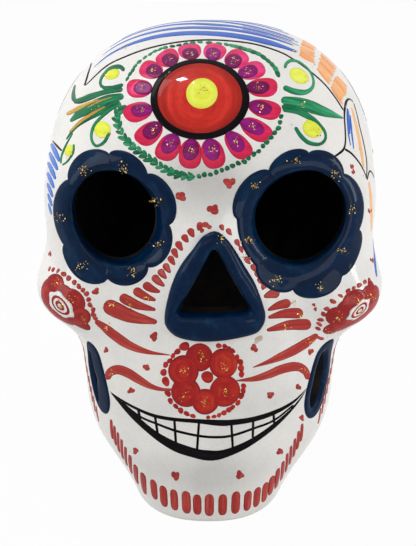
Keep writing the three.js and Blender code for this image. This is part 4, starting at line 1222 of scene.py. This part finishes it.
for x, y, r in lipFlower["beads"]:
    across, down = np.subtract((x, y), lipFlower["middle"])
    lean = math.degrees(math.atan2(down, across)) + 90      # along the ring
    ringBeads.append(dab((x, y), (r * 1.4, r * 1.1), "redEnamel", turn=lean + 25 * (rng.random() - 0.5),
                         wobble=0.08, **beadMesh))
layFilms("lipBeads", ringBeads)

# Cheek flowers: petals over a fill, about a white six-sided eye with two rings. Petals are places and
# radii in pixels; what wraps round the cheek has its radii in millimetres, square to the clay there.
cheekFlowers = {
    "left": {"wraps": ((59.6, 310.6, 8.8, 7.4, -32), (50, 294, 6.2, 5.0, 0), (76, 321.5, 6.0, 3.2, -32),
                       (47.4, 296, 6.4, 7.2, 0), (57, 313.6, 8.0, 4.8, -32)),
             "petals": ((62.6, 294, 13.4, 9.6, 38), (55.2, 283.6, 8.8, 10.2, 0),
                        (74.2, 300.4, 13.2, 9.6, 52), (81.2, 316.2, 10, 8.4, 25)),
             "eye": (60, 305.6), "eyeRadii": (6.9, 4.6), "tilt": -32,
             "beads": ((49.4, 268.9), (53.1, 269.6), (58, 270.8), (63.7, 274.1), (68.6, 278.1),
                       (74.3, 282.4), (78.8, 286.4), (82.8, 290.1), (86.5, 293.8), (88.6, 299.5),
                       (90, 305), (93.2, 309.9), (93.4, 314.8), (95.3, 318.4)), "beadRadii": (2.8, 2.5),
             "beadTurn": 60},
    "right": {"wraps": ((356.6, 310.6, 8.6, 7.0, 28), (370, 298.4, 5.2, 5.2, 0), (372.6, 290, 2.4, 4.2, 0),
                        (345, 319, 4.6, 3.2, 28), (374.6, 301, 6.0, 6.4, 0), (364, 314.4, 8.4, 5.4, 28),
                        (350, 323, 6.4, 3.8, 28)),
              "petals": ((347.6, 307.6, 14, 8.6, -38), (355.2, 299.4, 13, 9.6, -25),
                         (336, 316.2, 10.4, 9.2, -10), (331.4, 328.6, 9, 4.8, -18)),
              "eye": (359.6, 310.4), "eyeRadii": (6.0, 3.5), "tilt": 30,
              "beads": ((369.3, 280), (365, 281.8), (359.3, 285.2), (353.8, 288.4), (348.2, 291),
                        (340.6, 295.8), (332.9, 301.4), (326.8, 308.9), (323.5, 314.2), (320.6, 319.9),
                        (319.4, 324.2), (318, 328.6), (318.6, 337.4), (321.6, 338.6)),
              "beadRadii": (3.3, 2.1), "beadTurn": 22},
}
for hand, look in cheekFlowers.items():
    films = [dab(underPixel((x, y))[0], (u, v), "flowerRed", turn=lean, rings=6, around=36, full=0.92,
                 rise=0.09, lift=0.015 * k, seed=0.3 + 0.1 * k, skin=True)
             for k, (x, y, u, v, lean) in enumerate(look["wraps"])]
    films += [dab((x, y), (u, v), "flowerRed", turn=lean, rings=6, around=36, wobble=0.015,
                  lift=0.05 + 0.02 * k, seed=0.25 + 0.15 * k, swirl=True)
              for k, (x, y, u, v, lean) in enumerate(look["petals"])]
    layFilms(hand + "CheekFlower", films, (hand + "_cheek_flower",))
    eye, radii = underPixel(look["eye"])[0], np.array(look["eyeRadii"])
    films = [dab(eye, radii, "glazedClay", turn=look["tilt"], around=36, lift=0.24, rise=0.05, sixSided=0.09,
                 skin=True)]
    films += [band(ovalOn(eye, radii * a, 40, look["tilt"]), ovalOn(eye, radii * b, 40, look["tilt"]),
                   "flowerRed", across=4, rise=0.06, lift=0.27, skin=True)
              for a, b in ((0.50, 0.70), (0.16, 0.33))]
    layFilms(hand + "CheekFlowerDot", films, (hand + "_cheek_flower_dot",))
    films = [spot(p, np.array(look["beadRadii"]) * (0.85 + 0.3 * rng.random()), "roseEnamel",
                  turn=look["beadTurn"] + 30 * (rng.random() - 0.5), wobble=0.1, **beadMesh)
             for p in look["beads"]]
    layFilms(hand + "CheekBeads", films)
noseChips = (((259, 338.6), (5.4, 2.6), -18), ((257, 341.4), (3, 2), -60))      # place, radii and turn
layFilms("noseChip", [dab(place, radii, "chipEnamel", turn=lean, wobble=0.16, rise=0.05)
                      for place, radii, lean in noseChips])
print("flowers laid")

# Mouth: two lips as ribbons between their edges, the bite line and the lines between the teeth
mouthLines = {
    "upperTop": ((109, 390.6), (121, 398.6), (138, 407.7), (154.7, 414), (174.4, 417.5), (198.2, 418.9),
                 (219.3, 419.6), (231.9, 419.4), (252.9, 416.6), (275.4, 409.6), (293.6, 400),
                 (308.4, 386.4)),
    "upperLow": ((109, 391), (121, 401.4), (139, 411.4), (155.4, 418), (174.4, 421.4), (198.2, 423.6),
                 (219.3, 426.2), (231.9, 425.6), (252.9, 422.2), (274, 415.2), (293.6, 403.4),
                 (308.4, 386.8)),
    "lowerLow": ((109, 391), (127, 413.4), (141, 427.4), (158.4, 441.8), (175.8, 452.4), (196.8, 458.9),
                 (208, 461), (220.7, 459.6), (240.3, 451.9), (257, 442), (276.8, 426.6), (296.4, 405.6),
                 (308.4, 387)),
    "lowerTop": ((109, 391), (123, 403), (137, 415.4), (156, 430.8), (175.8, 441.4), (196.8, 448.4),
                 (209, 450), (220.7, 450), (236, 445.4), (253, 437.2), (272.6, 423.8), (292, 407.2),
                 (308.4, 387)),
    "bite": ((121, 401.6), (139.3, 416.1), (156.8, 423.8), (175.8, 430.8), (198.2, 435.8), (215, 437.2),
             (231.2, 435.8), (252.9, 428.7), (274, 420.3), (294, 404.6)),
    "teeth": (((138, 409), (140.4, 420)), ((155, 416), (158, 436)), ((174.4, 420), (176, 444)),
              ((199, 422), (197, 450.6)), ((231.4, 424), (232.8, 448.6)),
              ((253.2, 420.6), (252.8, 438.4)), ((273.6, 413.6), (274.2, 424))),
}
lipShare = endShares(64)
mouthFilms = [ribbonFilm(*(smoothPath(mouthLines[key], lipShare)[0] for key in lips), "blackEnamel", across=6)
              for lips in (("upperTop", "upperLow"), ("lowerTop", "lowerLow"))]
mouthFilms.append(stroke(mouthLines["bite"], (0.9, 1.2, 1.4, 1.4, 1.4, 1.2, 0.9), "blackEnamel", rows=60,
                         rise=0.1))
mouthFilms += [stroke(line, (1.3, 1.4, 1.3), "blackEnamel", rise=0.1) for line in mouthLines["teeth"]]
layFilms("mouth", mouthFilms, ("mouth",))

# Dashes along the jaw's border, in pixels: place, top, end, half width and lean. Each lies along the
# line that stands upright in the picture, at most a longest length over the clay, as wide there as the
# picture's width reaches over the clay within limits. A row of them goes on up behind each jaw window.
jawDashes = (
    (153.1, 479.5, 499.5, 3.7, 1.6), (162.9, 485.5, 507, 4.1, 1.4), (173.6, 489.2, 510.6, 4.1, 1.2),
    (185.9, 490.8, 513.8, 5.0, 0.8), (197, 494.2, 515, 4.6, 0.4), (209.3, 493.8, 516.4, 5.1, 0),
    (222.9, 494, 515.6, 4.8, -0.4), (236.2, 491.2, 514, 5.0, -0.8), (248.3, 490.6, 511, 4.1, -1.2),
    (257.8, 487, 507, 4.8, -1.6), (266, 482.2, 502, 4.0, -2), (272.6, 475.8, 495, 3.2, -2.2),
    (278.4, 468.6, 488.6, 2.7, -2.2), (283.6, 461.4, 481, 2.3, -2), (287.8, 453.6, 473, 2.0, -1.8),
    (291.6, 446, 465, 1.8, -1.6), (295.4, 438.6, 457.6, 1.7, -1.5), (299, 431, 450, 1.6, -1.4),
    (302.4, 423.6, 442, 1.6, -1.3), (305.8, 416.4, 435, 1.6, -1.3), (309, 409, 427.6, 1.5, -1.2),
    (142.6, 473, 494, 3.0, 1.7), (135, 463.6, 485.4, 2.5, 1.6), (129.4, 454.6, 475, 2.1, 1.5),
    (124.8, 446.6, 467, 1.9, 1.4), (121, 439.4, 460, 1.8, 1.3), (117.4, 432.6, 453, 1.7, 1.2),
    (114, 426, 446, 1.6, 1.2), (110.8, 419.6, 439.6, 1.6, 1.2), (107.6, 413, 433, 1.5, 1.2),
    (104.6, 407, 427, 1.5, 1.2),
)
dashLimits = {"longest": 12.5, "leastHalf": 0.95, "mostHalf": 1.9}      # millimetres
dashFilms = []
for x, top, end, half, lean in jawDashes:
    a, b = np.array((x, top)), np.array((x + lean, end))
    spots = underPixel([a + (b - a) * t for t in (0.32, 0.5, 0.68)])
    along = (spots[2] - spots[0]) / 0.36
    across = np.subtract(*underPixel([(a + b) / 2 + (half, 0), (a + b) / 2 - (half, 0)])) / 2
    across = across - along * (across @ along) / (along @ along)
    slim = 0.68 + 0.32 * np.clip(min((x - 118) / 20, (292 - x) / 24), 0, 1)       # slimmer up the jaw's sides
    wide = np.clip(np.linalg.norm(across) * slim, dashLimits["leastHalf"], dashLimits["mostHalf"])
    along *= min(1.0, dashLimits["longest"] / np.linalg.norm(along))
    path = settle(spots[1] + along * np.array([[-0.5], [-0.17], [0.17], [0.5]]))
    hand = "rightJaw" if x > 200 else "leftJaw"
    angle, reach = polar(openings[hand], path)
    if (reach > collarLooks[hand]["flange"](angle) + 0.6).all() and overCut(path).min() > 0.4:
        dashFilms.append(stroke(path, wide * np.array((0.75, 1.0, 1.0, 1.0, 0.8)), "roseEnamel", across=4,
                                rows=14, skin=True, seed=0.3 + 0.5 * rng.random()))
jawRow = {      # millimetres from the window's middle: where the row starts and how far it runs
    "shares": np.linspace(0, 0.84, 8), "aside": (5.0, 9.0), "height": (-18.0, 31.0), "lean": 0.2,
    "along": np.array((-3.8, -1.3, 1.3, 3.8)), "halves": 0.9 * np.array((0.75, 1.0, 1.0, 0.8)),
}
for hand, rear in (("leftJaw", -1), ("rightJaw", 1)):
    for share in jawRow["shares"]:
        t = jawRow["along"]
        aside, height = (start + run * share for start, run in (jawRow["aside"], jawRow["height"]))
        path = under(openings[hand], rear * (aside - jawRow["lean"] * t), height + t)
        dashFilms.append(stroke(path, jawRow["halves"], "roseEnamel", across=4, rows=12, skin=True,
                                seed=0.3 + 0.5 * rng.random()))
layFilms("jawDashes", dashFilms)
print("mouth and jaw dashes:", len(mouthFilms) + len(dashFilms))

# Black outlines: paths in pixels with half widths at even shares
outlines = (
    (((84.6, 86.4), (106, 66.4), (127, 56), (149, 48.2), (175, 42.6), (202, 40), (229, 40.8), (255, 44.2),
      (280, 52), (293.8, 59.6), (307.6, 69.4), (322.5, 82), (334, 95.8), (344.3, 111.6)),
     (0.4, 0.75, 0.8, 0.85, 0.85, 0.85, 0.85, 0.85, 0.85, 0.8, 0.75, 0.7, 0.7)),
    (((353.4, 102.4), (350.8, 99.6), (348, 99.4), (345.6, 103.8), (344.4, 115.3), (345.2, 130.2),
      (345.4, 141.7), (343.2, 149.8), (334.4, 156.8)), (0.7, 1.0, 1.5, 1.4, 1.1, 1.0, 1.0, 1.1, 0.8)),
    (((344.4, 149), (351.2, 153.2), (359.2, 162.6), (364.6, 172.6), (366.6, 179)),
     (1.2, 1.3, 1.2, 1.1, 0.8)),
    (((353.4, 102.6), (359, 124), (364, 145), (366.6, 161.2), (366.4, 178)), (0.7, 1.0, 1.2, 1.1, 0.8)),
    (((366.8, 180), (369.4, 171.4), (372.4, 173.4), (374, 178)), (0.9, 0.9, 0.8, 0.5)),
    (((84.4, 86), (88, 74), (91.8, 62.4)), (0.9, 1.0, 0.5)),
    (((52.4, 140.4), (57, 146), (62, 151)), (0.6, 1.2, 0.9)),
)


# A stroke by pixels, laid on the skin near the right limb and wider by a swell there
def onClay(path, half, finish, swell, **look):
    if max(x for x, _ in path) > limbs[1]:
        return stroke(underPixel(path), half * mmPerPixel * swell, finish, skin=True, **look)
    return stroke(path, half, finish, **look)


layFilms("panelOutlines", [onClay(path, np.array(halves), "blackEnamel", 1.3, across=4)
                           for path, halves in outlines])


def fromAbove(xy):      # the clay under a place seen from straight above, in millimetres
    start = np.column_stack([np.asarray(xy, float), np.full(len(xy), 240.0)])
    return castIn(start, np.broadcast_to(-upAxis, start.shape))


# Stripes over the crown, in millimetres seen from above, with half widths at even shares
crownStripes = (
    (((-45, -1.5), (-38, 2.2), (-26, 2.8), (-13, 2.2), (0, 0.6), (13, -2.4), (24, -4), (33, -4.2)),
     (0.5, 1.8, 3.2, 3.7, 3.7, 3.6, 3.9, 1.4)),
    (((-43, 10), (-35, 13.4), (-24, 13.4), (-12, 12.4), (0, 10.2), (13, 6.2), (23, 3.6), (32, 2.8)),
     (0.4, 1.6, 2.6, 3.0, 3.1, 2.8, 2.3, 0.7)),
    (((-41, 20.5), (-33, 24.6), (-22, 24), (-11, 22.2), (0, 19), (13, 13.2), (23, 10), (32, 9.4)),
     (0.4, 1.4, 2.1, 2.4, 2.5, 2.2, 1.7, 0.6)),
    (((-37, 30.5), (-28, 34), (-18, 33.6), (-8, 31.4), (2, 27.6), (13, 21.4), (23, 17), (33, 15.6)),
     (0.4, 1.3, 1.9, 2.2, 2.2, 1.9, 1.5, 0.6)),
    (((-33, 40), (-24, 43), (-12, 41.4), (0, 37), (12, 30.4), (22, 25.4), (31, 23.6)),
     (0.4, 1.1, 1.6, 1.8, 1.6, 1.2, 0.5)),
    (((-28, 49), (-18, 51), (-8, 48.6), (2, 44.4), (12, 39), (21, 34), (29, 32)),
     (0.3, 0.9, 1.3, 1.4, 1.2, 0.9, 0.4)),
    (((-22, 56.6), (-12, 57.4), (-2, 54.4), (8, 49.4), (17, 44.4), (25, 42)),
     (0.3, 0.7, 1.0, 1.0, 0.7, 0.3)),
    (((12, 9.9), (23, 7), (34, 6.2)), (0.2, 0.45, 0.3)),
    (((12, 17.6), (22, 13.7), (34, 12.4)), (0.2, 0.45, 0.3)),
)
layFilms("crownStripes", [stroke(fromAbove(path), halves, "blueEnamel", rows=44, seed=0.35, skin=True)
                          for path, halves in crownStripes])


# Dry brush over a four-cornered patch: strokes from the first side to the third, side by side
def dryPatch(corners, count, finish, half):
    a, b, c, d = (np.asarray(p, float) for p in corners)
    films = []
    for s in (np.arange(count) + 0.5) / count:
        start, end = a + (b - a) * s, d + (c - d) * s
        first, last = 0.10 * rng.random(), 1 - 0.16 * rng.random()
        path = (start + (end - start) * first, (start + end) / 2, start + (end - start) * last)
        films.append(stroke(path, half * np.array((0.7, 1.0, 0.9, 0.5)) * (0.8 + 0.4 * rng.random()), finish,
                            rise=0.07, across=4))
    return films


orangePatches = (
    ((301, 39), (297.6, 55), (315.6, 64.6), (317.8, 46)),
    ((320.6, 51.4), (315.4, 67.4), (331.4, 88.4), (337.4, 66.8)),
    ((336.2, 74.4), (329.6, 86), (343.4, 107), (349.8, 88.4)),
)
orangeStrokes = (
    (((351.4, 106.8), (356.6, 127), (360.6, 147), (363.4, 168)), 2.7),
    (((368.8, 181), (370.8, 197), (371.6, 214), (371.6, 231)), 3.2),
)
blueStrokes = (
    (((347.8, 108.4), (348.4, 121), (349.4, 134)), 2.0),
    (((350.2, 114.8), (351.6, 131), (353.6, 149.2)), 1.2),
    (((347.4, 120), (348.6, 134), (350.6, 146)), 1.0), (((51, 143), (55.4, 152), (59.6, 162)), 2.6),
    (((49, 151.6), (53.4, 161), (57.6, 170.6)), 2.5),
    (((47.8, 161.6), (51.8, 170.4), (55.6, 179.6)), 2.4),
    (((47.2, 171.8), (50.6, 180), (54, 188.6)), 2.2), (((47.2, 182.6), (50, 190), (52.8, 197.6)), 1.9),
    (((47.8, 193), (50, 200), (52.2, 206.6)), 1.6), (((48.4, 203), (50, 209), (51.6, 215)), 1.3),
    (((373.2, 238), (374.2, 252), (375.4, 266), (376.6, 277)), 2.4),
)
frontPatches = []
for corners in orangePatches:
    a, b, c, d = np.array(corners)
    frontPatches += dryPatch(corners, 9, "orangeEnamel", 1.35)
    near, far = a + b, c + d        # a wash down the middle, under the dry brush
    frontPatches.append(stroke((near * 0.45 + far * 0.05, (near + far) / 4, near * 0.05 + far * 0.45),
                               np.linalg.norm(b - a) * np.array((0.3, 0.38, 0.38, 0.28)), "orangeEnamel",
                               rise=0.05, seed=0.95))
frontPatches += [onClay(path, half * np.array((0.5, 1, 1, 0.6)), "orangeEnamel", 1.9, rise=0.05, seed=0.95)
                 for path, half in orangeStrokes]
frontBlue = [onClay(path, half * np.array((0.6, 1, 1, 0.5)), "blueEnamel", 1.7, rise=0.07,
                    seed=1.1 if path[0][0] < limbs[0] else 0.4) for path, half in blueStrokes]
layFilms("templeOrange", frontPatches)
layFilms("templeBlue", frontBlue)


# Points between two places on the head, by turn and tilt, with a sideways bow in degrees
def turnPath(start, end, bow, count=7):
    t = np.linspace(0, 1, count)[:, None]
    a, b = np.array(start, float), np.array(end, float)
    across = np.array([-(b - a)[1], (b - a)[0]])
    return atTurn(a + (b - a) * t + across / (np.linalg.norm(across) + 1e-9) * bow * 4 * t * (1 - t))


# A feather on the side of the head: two outlines bowed apart, blue strokes in its lower half
# and orange dry brush in its upper half
featherStrokes = (      # place across, finish, half width, and where along the feather it starts and ends
    (1.0, "blackEnamel", 0.5, 0.0, 1.0), (-1.0, "blackEnamel", 0.5, 0.0, 1.0),
    (-0.66, "blueEnamel", 0.62, 0.12, 0.74), (-0.36, "blueEnamel", 0.66, 0.10, 0.82),
    (-0.08, "blueEnamel", 0.55, 0.2, 0.7), (0.22, "orangeEnamel", 0.6, 0.14, 0.86),
    (0.46, "orangeEnamel", 0.62, 0.12, 0.82), (0.68, "orangeEnamel", 0.55, 0.2, 0.72),
)


def feather(start, end, spread, hand):
    films = []
    flip = np.array((hand, 1.0))
    for share, finish, half, first, last in featherStrokes:
        path = turnPath(start * flip, end * flip, share * spread * hand, 9)
        part, _ = smoothPath(path, np.linspace(first, last, 7))
        films.append(stroke(part, half * np.array((0.6, 1, 1.1, 1, 0.5)), finish, skin=True, across=4,
                            rows=18, rise=0.13 if finish == "blackEnamel" else 0.07))
    return films


sideLayout = {
    "feathers": (((103, 41), (135, 43), 6.2), ((96, 25), (131, 25), 6.6), ((90, 9), (127, 8), 6.4)),
    "dots": ((98, 33), (104, 17), (132, 50), (131, 33), (130, 16), (127, 1), (98, 1), (112, -12),
             (84, -6), (140, -14)),
}
sideFeathers, sideDots = [], []
for hand in (-1, 1):
    for start, end, spread in sideLayout["feathers"]:
        sideFeathers += feather(start, end, spread, hand)
    for turn, tilt in sideLayout["dots"]:
        foot = atTurn((turn * hand, tilt))[0]
        sideDots += [dab(foot, (1.1, 0.85), "roseEnamel", turn=30, skin=True, wobble=0.1, **beadMesh),
                     dab(foot + rng.normal(0, 0.9, 3), (0.8, 0.65), "roseEnamel", turn=80, skin=True,
                         wobble=0.1, lift=0.02, **beadMesh)]
layFilms("sideFeathers", sideFeathers)
layFilms("sideDots", sideDots)

# Back of the head: a rosette like the one in front, with a ring of green beads and two leaf sprays
backRosette = {     # degrees, then radii in millimetres
    "turn": 180.0, "tilt": 20.0, "centre": 6.0, "disc": 14.5, "ring": 16.5, "petals": 14, "petalReach": 10.5,
    "beadRing": 31.0, "beads": 44,
}
backFoot = atTurn((backRosette["turn"], backRosette["tilt"]))[0]
backInner, backOuter = (ovalOn(backFoot, (r, r), 72)
                        for r in (backRosette["disc"] - 0.4, backRosette["ring"]))
backFilms = [dab(backFoot, backRosette["disc"], "discEnamel", rings=10, around=64, skin=True, seed=0.5),
             dab(backFoot, backRosette["centre"], "yellowEnamel", rings=5, around=36, skin=True, lift=0.12,
                 seed=0.5),
             band(backInner, backOuter, "blackEnamel", lift=0.03, skin=True)]
half = 0.5 * backRosette["petalReach"]
middle = backRosette["ring"] + half + 0.3
for angle in fullTurn(backRosette["petals"]):
    lean = math.degrees(angle)
    foot, heart = (onPlane(backFoot, *(heading(lean) * r)) for r in (middle, middle - 0.8))
    backFilms += [dab(foot, (half, 4.5), "pinkEnamel", turn=lean, rings=5, around=30, skin=True, egg=0.14,
                      full=0.86),
                  dab(heart, (half * 0.66, 2.9), "purpleEnamel", turn=lean, rings=4, around=24, skin=True,
                      rise=0.07, lift=0.13, egg=0.1)]
for p in ovalOn(backFoot, (backRosette["beadRing"],) * 2, backRosette["beads"]):
    backFilms.append(dab(p, (1.15, 0.95), "greenEnamel", turn=rng.random() * 180, skin=True, wobble=0.06,
                         **beadMesh))
layFilms("backRosette", backFilms)
backLeaves = (      # start and end by turn and tilt, bow and half width
    ((152, 22), (134, 24), 2.0, 2.0), ((152, 14), (137, 6), -3.0, 1.2), ((153, 30), (140, 42), 3.0, 1.2),
)
backSprays = []
for hand in (-1, 1):
    for start, end, bow, half in backLeaves:
        a, b = ((180 - hand * (180 - turn), tilt) for turn, tilt in (start, end))
        backSprays.append(stroke(turnPath(a, b, bow * hand), half * np.array((0.6, 1, 0.9, 0.6, 0.15)),
                                 "greenEnamel", skin=True))
    for turn, tilt in ((143, 15), (145, 33)):
        backSprays.append(dab(atTurn((180 - hand * (180 - turn), tilt))[0], (2.6, 2.0), "yellowEnamel",
                              turn=30 * hand, skin=True, around=22))
layFilms("backSprays", backSprays)

# Dashes along the rest of the rim, straight up from it on each meridian
rimRow = {      # degrees between dashes and the front that has its own, then millimetres
    "step": 3.2, "front": (-154, -26), "above": 1.2, "along": np.array((6.2, 3.1, 0.0)), "half": 0.95,
}
rimFilms = []
for turn in np.arange(-180, 180, rimRow["step"]):
    if rimRow["front"][0] < turn < rimRow["front"][1]:
        continue
    index = int(round(turn / 360 * clayBody["around"])) % clayBody["around"]
    radius = np.linalg.norm(rimOut[index] - shellCentre)
    drops = outerEnd[index] - (rimRow["above"] + rimRow["along"]) / radius
    path = reachOut(meridian(np.full(3, turns[index]), drops), 0)
    rimFilms.append(stroke(path, rimRow["half"] * np.array((0.8, 1, 1, 0.8)), "roseEnamel", skin=True,
                           across=4, rows=10, seed=0.3 + 0.5 * rng.random()))
layFilms("rimDashes", rimFilms)
print("sides and back:", len(sideFeathers) + len(backFilms) + len(rimFilms))

# Gold flakes: eight-faced grains scattered about places in pixels. Each entry is the height they
# sit at in millimetres, the spread in pixels, the count and the places.
flakeClusters = (
    (0.52, 2.6, 22, ((85, 171), (124, 168), (156, 201), (158, 243), (133, 272), (82, 266), (61, 217))),
    (0.52, 2.6, 22,
     ((296, 161), (335, 174), (352, 209), (343, 250), (320, 286), (275, 281), (248, 239), (255, 186))),
    (2.62, 1.8, 16, ((218, 238), (240, 256))), (0.26, 2.6, 26, ((203.4, 89.5),)),
    (0.18, 2.6, 18,
     ((203, 355.8), (224.9, 365.6), (226.3, 393), (204, 402), (185.9, 394.4), (185.3, 369))),
    (0.2, 2.6, 16, ((56, 283), (73, 300), (84, 318), (357, 298), (337, 318), (329, 331), (371, 298))),
    (0.36, 1.5, 14, ((59.6, 305.8), (359.4, 310.4))),
    (0.14, 1.9, 12,
     ((305.6, 80), (318, 133), (107, 77), (107.6, 134), (70, 154), (293, 51.6), (124, 49), (303, 104),
      (96, 107), (130, 305), (113, 305), (148, 298), (294, 303), (300, 315), (285, 327), (108, 328),
      (311, 341), (112, 372), (303, 369))),
    (0.02, 1.5, 6, ((314, 66), (331, 90), (347, 106), (359, 150), (366, 175), (52, 170), (50, 190))),
)
heartPlaces = np.array([f["points"][0] for f in hearts])
flakes = {"size": 0.23, "spreadSize": 0.09, "thin": 0.5}
spots, lifts = [], []
for lift, spread, count, places in flakeClusters + ((0.21, 2.0, 16, heartPlaces),):
    scatter = rng.normal(0, spread, (len(places), count, 2))
    spots.append((np.asarray(places)[:, None] + scatter).reshape(-1, 2))
    lifts.append(np.full(len(places) * count, lift))
grains = underPixel(np.concatenate(spots))
grainNormal = headNormal(grains)
grains = grains + grainNormal * np.concatenate(lifts)[:, None]
tilted = unit(grainNormal + rng.normal(0, 0.22, grains.shape))
first = unit(np.cross(tilted, rng.normal(0, 1, grains.shape)))
second = np.cross(tilted, first)
grainSize = np.clip(rng.normal(flakes["size"], flakes["spreadSize"], len(grains)), 0.12, 0.5)[:, None]
steps = (first, second * 0.8, first * -0.9, -second, tilted * flakes["thin"], tilted * -flakes["thin"])
corners = np.stack([grains + step * grainSize for step in steps], 1)
eightFaces = np.array([(0, 1, 4), (1, 2, 4), (2, 3, 4), (3, 0, 4),
                       (1, 0, 5), (2, 1, 5), (3, 2, 5), (0, 3, 5)])
goldFlakes = meshPiece("goldFlakes", corners.reshape(-1, 3), np.zeros((0, 4), int),
                       (np.arange(len(grains))[:, None, None] * 6 + eightFaces).reshape(-1, 3), [goldFlake],
                       values={"seed": np.repeat(rng.random(len(grains)), 6)})
goldFlakes.data.shade_flat()
setPiece(goldFlakes, ())
print("gold flakes:", len(grains))


def seenWhite(tree):        # one for a ray from the camera, off a gloss or through glass
    path = addNode(tree, "ShaderNodeLightPath").outputs
    total = path["Is Camera Ray"]
    for name in ("Is Glossy Ray", "Is Transmission Ray"):
        total = addNode(tree, "ShaderNodeMath", {0: total, 1: path[name]}, operation="MAXIMUM").outputs[0]
    return total


# Camera, stage and light: a pale floor, soft lamps in front and at both sides, small ones overhead
studio = {
    "floorSize": 7.0, "floorColour": (0.62, 0.62, 0.62), "floorWhite": 0.965,
    "fill": 0.42,
    "lamps": (
        # name, place and aim in metres, width, height, watts
        ("overhead", (-0.16, 0.28, 1.09), (0, -0.04, 0.16), 0.065, 0.055, 2.2),
        ("highSoft", (-0.39, 0.23, 0.93), (0, -0.04, 0.16), 0.28, 0.28, 1.4),
        ("rightSoft", (0.64, -0.47, 0.13), (0.016, -0.07, 0.108), 0.42, 0.42, 2.0),
        ("rightStrip", (0.78, 0.0, 0.26), (0.05, -0.05, 0.12), 0.12, 0.36, 1.5),
        ("leftSoft", (-0.95, -0.30, 0.45), (-0.03, -0.04, 0.08), 0.45, 0.55, 4.0),
        ("frontSoft", (-0.35, -1.15, 0.95), (0, -0.02, 0.08), 1.0, 0.8, 3.0),
    ),
}
position, right, up, forward = cameraBasis()
cameraData = bpy.data.cameras.new("photoCamera")
cameraData.sensor_fit = "VERTICAL"
cameraData.sensor_height = 36.0
cameraData.lens = photoCamera["focal"] * 36.0 / photoCamera["frame"][1]
cameraData.clip_start, cameraData.clip_end = 0.01, 50
camera = placed("photoCamera", cameraData)
stance = np.eye(4)
stance[:3] = np.column_stack([right, up, -forward, toRow(position)])
camera.matrix_world = Matrix(stance.tolist())
bpy.context.scene.camera = camera

half = studio["floorSize"]
floorMesh = bpy.data.meshes.new("studioFloor")
floorMesh.from_pydata([(-half, -half, 0), (half, -half, 0), (half, half, 0), (-half, half, 0)], [],
                      [(0, 1, 2, 3)])
floor = placed("studioFloor", floorMesh)
floorFinish, floorTree, floorShader = newFinish("floorWhite", {
    "Base Color": (*studio["floorColour"], 1), "Roughness": 0.9, "Specular IOR Level": 0.0})
glow = addNode(floorTree, "ShaderNodeEmission")
weight = addNode(floorTree, "ShaderNodeMath", {0: seenWhite(floorTree), 1: studio["floorWhite"]},
                 operation="MULTIPLY")
blend = addNode(floorTree, "ShaderNodeMixShader",
                {0: weight.outputs[0], 1: floorShader.outputs[0], 2: glow.outputs[0]})
wire(floorTree, floorTree.nodes["Material Output"], {0: blend.outputs[0]})
floorMesh.materials.append(floorFinish)

world = bpy.data.worlds.new("studioWorld")
bpy.context.scene.world = world
world.use_nodes = True
worldTree = world.node_tree
strength = addNode(worldTree, "ShaderNodeMapRange",
                   {"Value": seenWhite(worldTree), "To Min": studio["fill"], "To Max": 1.0})
wire(worldTree, worldTree.nodes["Background"], {"Strength": strength.outputs[0], "Color": (1, 1, 1, 1)})

for name, place, aim, width, height, watts in studio["lamps"]:
    lampData = bpy.data.lights.new(name, "AREA")
    lampData.shape, lampData.size, lampData.size_y, lampData.energy = "RECTANGLE", width, height, watts
    lamp = placed(name, lampData)
    lamp.location = place
    lamp.rotation_euler = (Vector(aim) - Vector(place)).to_track_quat("-Z", "Y").to_euler()
bpy.context.scene.view_settings.view_transform = "Standard"
print("studio ready")
